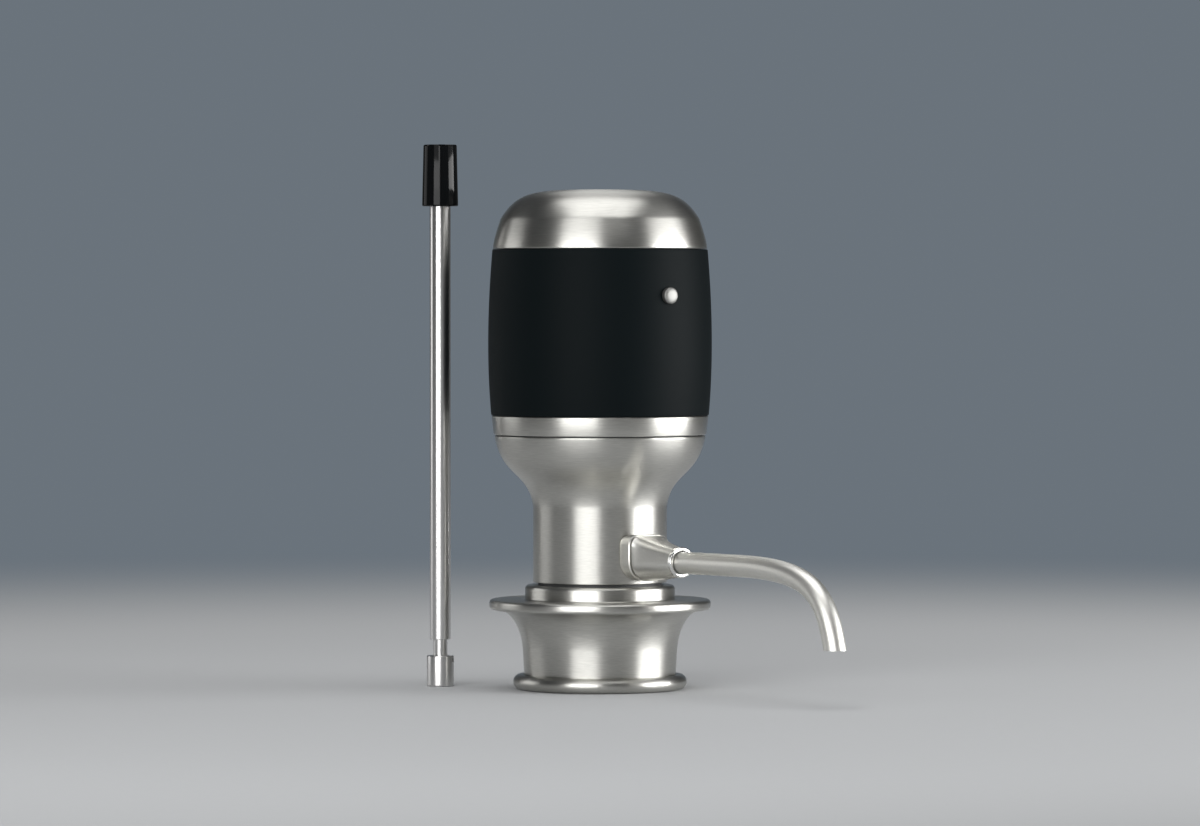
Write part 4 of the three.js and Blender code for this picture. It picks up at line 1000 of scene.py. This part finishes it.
class AERATOR_OT_seal(PieceOperator, bpy.types.Operator):
    """Adds the silicone cup under the neck that grips a bottle's lip"""

    bl_idname = "aerator.seal"
    bl_label = "Bottle seal"

    def make(self, all_settings):
        seal, common = all_settings.seal, all_settings.common
        low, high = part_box("bottle_seal")
        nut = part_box("nozzle_nut")[1]
        edge = common.edge
        mouth = high.x - seal.wall
        under = high.z - seal.roof
        bore = seal.nozzle + common.fit
        pocket = nut.x + seal.pocket
        pocket_roof = nut.z + common.fit
        ribs = []
        for i in (2, 1):
            middle = low.z + seal.pitch * i
            ribs += [
                (mouth, middle + seal.rib, edge),
                (mouth - seal.rib, middle, edge),
                (mouth, middle - seal.rib, edge),
            ]
        profile = rounded([
            (high.x, low.z, seal.lead),
            (high.x, high.z, edge),
            (bore, high.z),
            (bore, pocket_roof),
            (pocket, pocket_roof),
            (pocket, under, edge),
            (mouth, under, 2 * edge),
            *ribs,
            (mouth, low.z, seal.lead),
        ])
        cup = as_object("seal_cup", lathe(profile))
        carve(cup, [lathe(rod(seal.air_hole, under / 2, high.z * 2), 32, (0, seal.air_offset))])
        dress(cup, "bottle_seal")


class AERATOR_OT_battery_space(PieceOperator, bpy.types.Operator):
    """Adds what shows under the raised cap: the holder with its grooves and the gasket"""

    bl_idname = "aerator.battery_space"
    bl_label = "Battery space"

    def make(self, all_settings):
        holder, common = all_settings.holder, all_settings.common
        low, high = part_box("battery_holder")
        edge = common.edge
        band_top = high.z - holder.collar_height
        flange_low = band_top - holder.flange
        collar_bore = holder.collar_radius - holder.collar_wall
        profile = rounded([
            (holder.bore, low.z),
            (holder.radius, low.z, edge),
            (holder.radius, flange_low),
            (high.x, flange_low),
            (high.x, band_top, edge),
            (holder.collar_radius, band_top, edge),
            (holder.collar_radius, high.z, 2 * edge),
            (collar_bore, high.z, 2 * edge),
            (collar_bore, band_top),
            (holder.bore, band_top),
        ])
        piece = as_object("cell_holder", lathe(profile))
        tools = []
        for i in range(6):
            cell_low, cell_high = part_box(f"cell_{i + 1}")
            centre = (cell_low + cell_high) / 2
            well = cell_high.x - centre.x + holder.clearance
            tools.append(lathe(rod(well, low.z / 2, high.z), 72, (centre.x, centre.y)))
        back = holder.radius - holder.slot_depth
        middle = (back + high.x) / 2
        tall = flange_low - low.z / 2
        window_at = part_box("motor_can")[1].z + holder.window_rise
        key_height = 2 * holder.collar_height
        window_share = 0.75
        tools += [
            box_tool(holder.slot_width, high.x - back, tall, (0, -middle, flange_low - tall / 2)),
            box_tool(holder.window_width, back, holder.window_height, (0, -back * window_share, window_at)),
            box_tool(holder.key_width, 2 * holder.key_depth, key_height,
                     (0, collar_bore, band_top + key_height / 2)),
        ]
        reach = (holder.collar_radius - holder.groove_depth, high.x)
        angles = (-holder.groove_start, holder.groove_end)
        climb = all_settings.body.lug_climb
        tools += helix_bars(reach, band_top + holder.groove_rise, holder.groove_height, angles, climb)
        carve(piece, tools)
        dress(piece, "battery_holder")
        low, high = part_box("cap_gasket")
        thick = (high.z - low.z) / 2
        sides = 24
        last = 360 - 360 / sides
        ring = arc(high.x - thick, (low.z + high.z) / 2, thick, 0, last, sides - 1)
        dress(as_object("gasket_ring", lathe(ring)), "cap_gasket")


class AERATOR_OT_draw_tube(PieceOperator, bpy.types.Operator):
    """Adds the draw tube: slotted foot, inner tube, outer tube and black connector"""

    bl_idname = "aerator.draw_tube"
    bl_label = "Draw tube"

    def make(self, all_settings):
        tube, common = all_settings.tube, all_settings.common
        low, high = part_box("outer_tube")
        centre = ((low.x + high.x) / 2, (low.y + high.y) / 2)
        self.make_foot(tube, common, centre)
        self.make_pipe("inner_tube", "thin_tube", tube.inner_wall, common, centre)
        self.make_pipe("outer_tube", "thick_tube", tube.outer_wall, common, centre)
        self.make_connector(tube, common, centre)

    def make_pipe(self, node, name, wall, common, centre):
        low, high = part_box(node)
        radius = high.x - centre[0]
        lip = min(common.edge, wall / 3)
        profile = rounded([
            (radius - wall, low.z, lip),
            (radius, low.z, lip),
            (radius, high.z, lip),
            (radius - wall, high.z, lip),
        ])
        dress(as_object(name, lathe(profile, 96, centre)), node)

    def make_foot(self, tube, common, centre):
        low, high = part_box("tube_foot")
        radius = high.x - centre[0]
        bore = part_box("inner_tube")[1].x - centre[0] + common.fit / 2
        edge = common.edge
        profile = rounded([
            (bore, low.z, edge),
            (radius, low.z, 2 * edge),
            (radius, high.z, edge),
            (bore, high.z, edge),
        ])
        foot = as_object("slotted_foot", lathe(profile, 96, centre))
        slot = (radius, tube.slot_width, 2 * tube.slot_depth)
        carve(foot, blocks_round(centre, (bore + radius) / 2, high.z, slot))
        dress(foot, "tube_foot", "satin_tube")

    def make_connector(self, tube, common, centre):
        low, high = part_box("tube_connector")
        radius = high.x - centre[0]
        tube_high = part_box("outer_tube")[1]
        seat = tube_high.x - centre[0] + common.fit / 2
        bore_low = high.z - tube.connector_bore_depth
        passage = tube_high.x - centre[0] - tube.outer_wall
        edge = common.edge
        soft = 1.6 * edge
        profile = rounded([
            (seat, low.z, edge),
            (radius, low.z, soft),
            (tube.connector_top, high.z, soft),
            (tube.connector_bore, high.z, edge),
            (tube.connector_bore, bore_low),
            (passage, bore_low),
            (passage, tube_high.z + common.fit),
            (seat, tube_high.z + common.fit),
        ])
        connector = as_object("connector", lathe(profile, 128, centre))
        notch = (tube.notch, 2 * tube.notch, tube.notch)
        carve(connector, blocks_round(centre, tube.connector_top, high.z, notch))
        dress(connector, "tube_connector")


class AERATOR_OT_inner_works(PieceOperator, bpy.types.Operator):
    """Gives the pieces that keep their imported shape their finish"""

    bl_idname = "aerator.inner_works"
    bl_label = "Inner works"

    def make(self, all_settings):
        for name, node in frame["nodes"].items():
            if node.hide_render:
                continue
            node.data.materials.clear()
            node.data.materials.append(material(slot_of[name]))


# The cosines of the angle from the backdrop's middle at which it starts and is full
floor_reach = (0.7, 0.93)
horizon_reach = (0.92, 0.985)

# Each lamp's degrees from the camera and above the floor, then its distance, width, height and level
lamps = (
    ("left_front", -22.5, 22.0, 1.0, 0.72, 0.7, 1.7),
    ("left_front_low", -22.5, 3.5, 1.0, 0.72, 0.3, 7.3),
    ("right", 81.0, 21.0, 1.0, 0.8, 0.66, 1.1),
    ("right_low", 82.0, 3.5, 1.0, 0.8, 0.3, 13.0),
    ("left_back", -109.0, 8.0, 1.0, 0.5, 0.5, 1.3),
    ("top", 0.0, 86.0, 1.3, 1.2, 1.5, 2.2),
    ("back", 180.0, 36.0, 1.2, 0.3, 0.4, 1.3),
)


class AERATOR_OT_stage(PieceOperator, bpy.types.Operator):
    """Adds the floor, the world, the lamps and the camera"""

    bl_idname = "aerator.stage"
    bl_label = "Stage"

    def make(self, all_settings):
        stage = all_settings.stage
        self.make_floor(stage)
        self.make_world(stage)
        self.make_camera(stage)
        for name, *place in lamps:
            self.make_lamp(stage, name, *place)
        bpy.context.scene.view_settings.view_transform = "Standard"

    def make_floor(self, stage):
        thickness = 0.02
        floor = as_object("floor", lathe(rod(stage.floor_radius, -thickness, 0), 96))
        made, tree, shader = begin("floor")
        place = object_place(tree)
        distance = polar(tree, place)[0]
        weave = grain(300.0, 3.0)(tree)
        shader.inputs["Roughness"].default_value = 0.9
        shader.inputs["Specular IOR Level"].default_value = 0.1
        paper = mixed(tree, weave, *toned(stage.floor, 0.985, 1.015))
        tree.links.new(paper, shader.inputs["Base Color"])
        distant = self.surroundings(tree, place, stage, *floor_reach)
        glow = add(tree, "Emission", {"Color": distant, "Strength": 1.0})
        blend = add(tree, "MixShader", {0: ramp(tree, distance, stage.fade_start, stage.fade_end)})
        tree.links.new(shader.outputs["BSDF"], blend.inputs[1])
        tree.links.new(glow.outputs["Emission"], blend.inputs[2])
        out = next(n for n in tree.nodes if n.type == "OUTPUT_MATERIAL")
        tree.links.new(blend.outputs["Shader"], out.inputs["Surface"])
        floor.data.materials.append(made)

    def surroundings(self, tree, place, stage, edge, full):
        """A dim room all round, with a slate backdrop that starts at edge and is full at full."""
        back = (math.sin(stage.azimuth), math.cos(stage.azimuth), 0)
        way = polar(tree, place)[1]
        behind = add(tree, "VectorMath", {0: way, 1: back}, operation="DOT_PRODUCT").outputs["Value"]
        return mixed(tree, ramp(tree, behind, edge, full), stage.room, stage.backdrop)

    def make_world(self, stage):
        world = bpy.data.worlds.new("studio")
        world.use_nodes = True
        tree = world.node_tree
        tree.nodes.clear()
        way = add(tree, "TexCoord").outputs["Generated"]
        up = add(tree, "SeparateXYZ", {"Vector": way}).outputs["Z"]
        horizon = self.surroundings(tree, way, stage, *horizon_reach)
        level = add(tree, "Background", {"Color": horizon, "Strength": 1.0})
        over = add(tree, "Background", {"Color": (*stage.ceiling, 1), "Strength": 1.0})
        # The ceiling starts and is full where a direction's upward part is this
        ceiling_start, ceiling_full = 0.1, 0.4
        background = add(tree, "MixShader", {0: ramp(tree, up, ceiling_start, ceiling_full)})
        tree.links.new(level.outputs["Background"], background.inputs[1])
        tree.links.new(over.outputs["Background"], background.inputs[2])
        add(tree, "OutputWorld", {"Surface": background.outputs["Shader"]})
        bpy.context.scene.world = world

    def make_camera(self, stage):
        data = bpy.data.cameras.new("camera")
        data.lens = stage.lens
        data.clip_start = 0.05
        camera = bpy.data.objects.new("camera", data)
        bpy.context.scene.collection.objects.link(camera)
        angle = -math.pi / 2 - stage.azimuth
        camera.location = (stage.distance * math.cos(angle), stage.distance * math.sin(angle), stage.height)
        aim = Vector((0, 0, stage.aim)) - camera.location
        camera.rotation_euler = aim.to_track_quat("-Z", "Y").to_euler()
        bpy.context.scene.camera = camera

    def make_lamp(self, stage, name, offset, rise, distance, width, height, level):
        """A soft box, placed by degrees from the camera and by degrees above the floor.

        A level of 1 is the brightness of a white surface.
        """
        target = Vector((0, 0, stage.aim))
        angle = -math.pi / 2 - stage.azimuth + math.radians(offset)
        up = math.radians(rise)
        way = Vector((math.cos(angle) * math.cos(up), math.sin(angle) * math.cos(up), math.sin(up)))
        spot = target + distance * way
        data = bpy.data.lights.new(name, "AREA")
        data.shape = "RECTANGLE"
        data.size = width
        data.size_y = height
        data.energy = level * width * height * math.pi
        lamp = bpy.data.objects.new(name, data)
        bpy.context.scene.collection.objects.link(lamp)
        lamp.location = spot
        lamp.rotation_euler = (target - spot).to_track_quat("-Z", "Y").to_euler()


class AERATOR_PT_sidebar(bpy.types.Panel):
    """Lists the aerator's operators and settings"""

    bl_idname = "AERATOR_PT_sidebar"
    bl_label = "Electric Wine Aerator"
    bl_space_type = "VIEW_3D"
    bl_region_type = "UI"
    bl_category = "Aerator"

    def draw(self, context):
        for operator in operators:
            self.layout.operator(operator.bl_idname)
        for group_name in AeratorSettings.__annotations__:
            group = getattr(context.scene.aerator, group_name)
            box = self.layout.box()
            box.label(text=group_name.capitalize())
            for name in type(group).__annotations__:
                box.prop(group, name)


setting_groups = (
    CommonSettings, StandSettings, BodySettings, ButtonSettings, SpoutSettings, SealSettings,
    HolderSettings, TubeSettings, FinishSettings, StageSettings, AeratorSettings,
)
operators = (
    AERATOR_OT_stand, AERATOR_OT_bell, AERATOR_OT_band, AERATOR_OT_cap, AERATOR_OT_spout,
    AERATOR_OT_seal, AERATOR_OT_battery_space, AERATOR_OT_draw_tube, AERATOR_OT_inner_works, AERATOR_OT_stage,
)


def register():
    """Registers the settings, the operators and the panel."""
    for kind in (*setting_groups, *operators, AERATOR_PT_sidebar):
        bpy.utils.register_class(kind)
    bpy.types.Scene.aerator = PointerProperty(type=AeratorSettings)


def unregister():
    """Takes them away again."""
    del bpy.types.Scene.aerator
    for kind in reversed((*setting_groups, *operators, AERATOR_PT_sidebar)):
        bpy.utils.unregister_class(kind)


def main():
    """Makes every piece and the stage."""
    register()
    for operator in operators:
        group, name = operator.bl_idname.split(".")
        getattr(getattr(bpy.ops, group), name)()


if __name__ == "__main__":
    main()
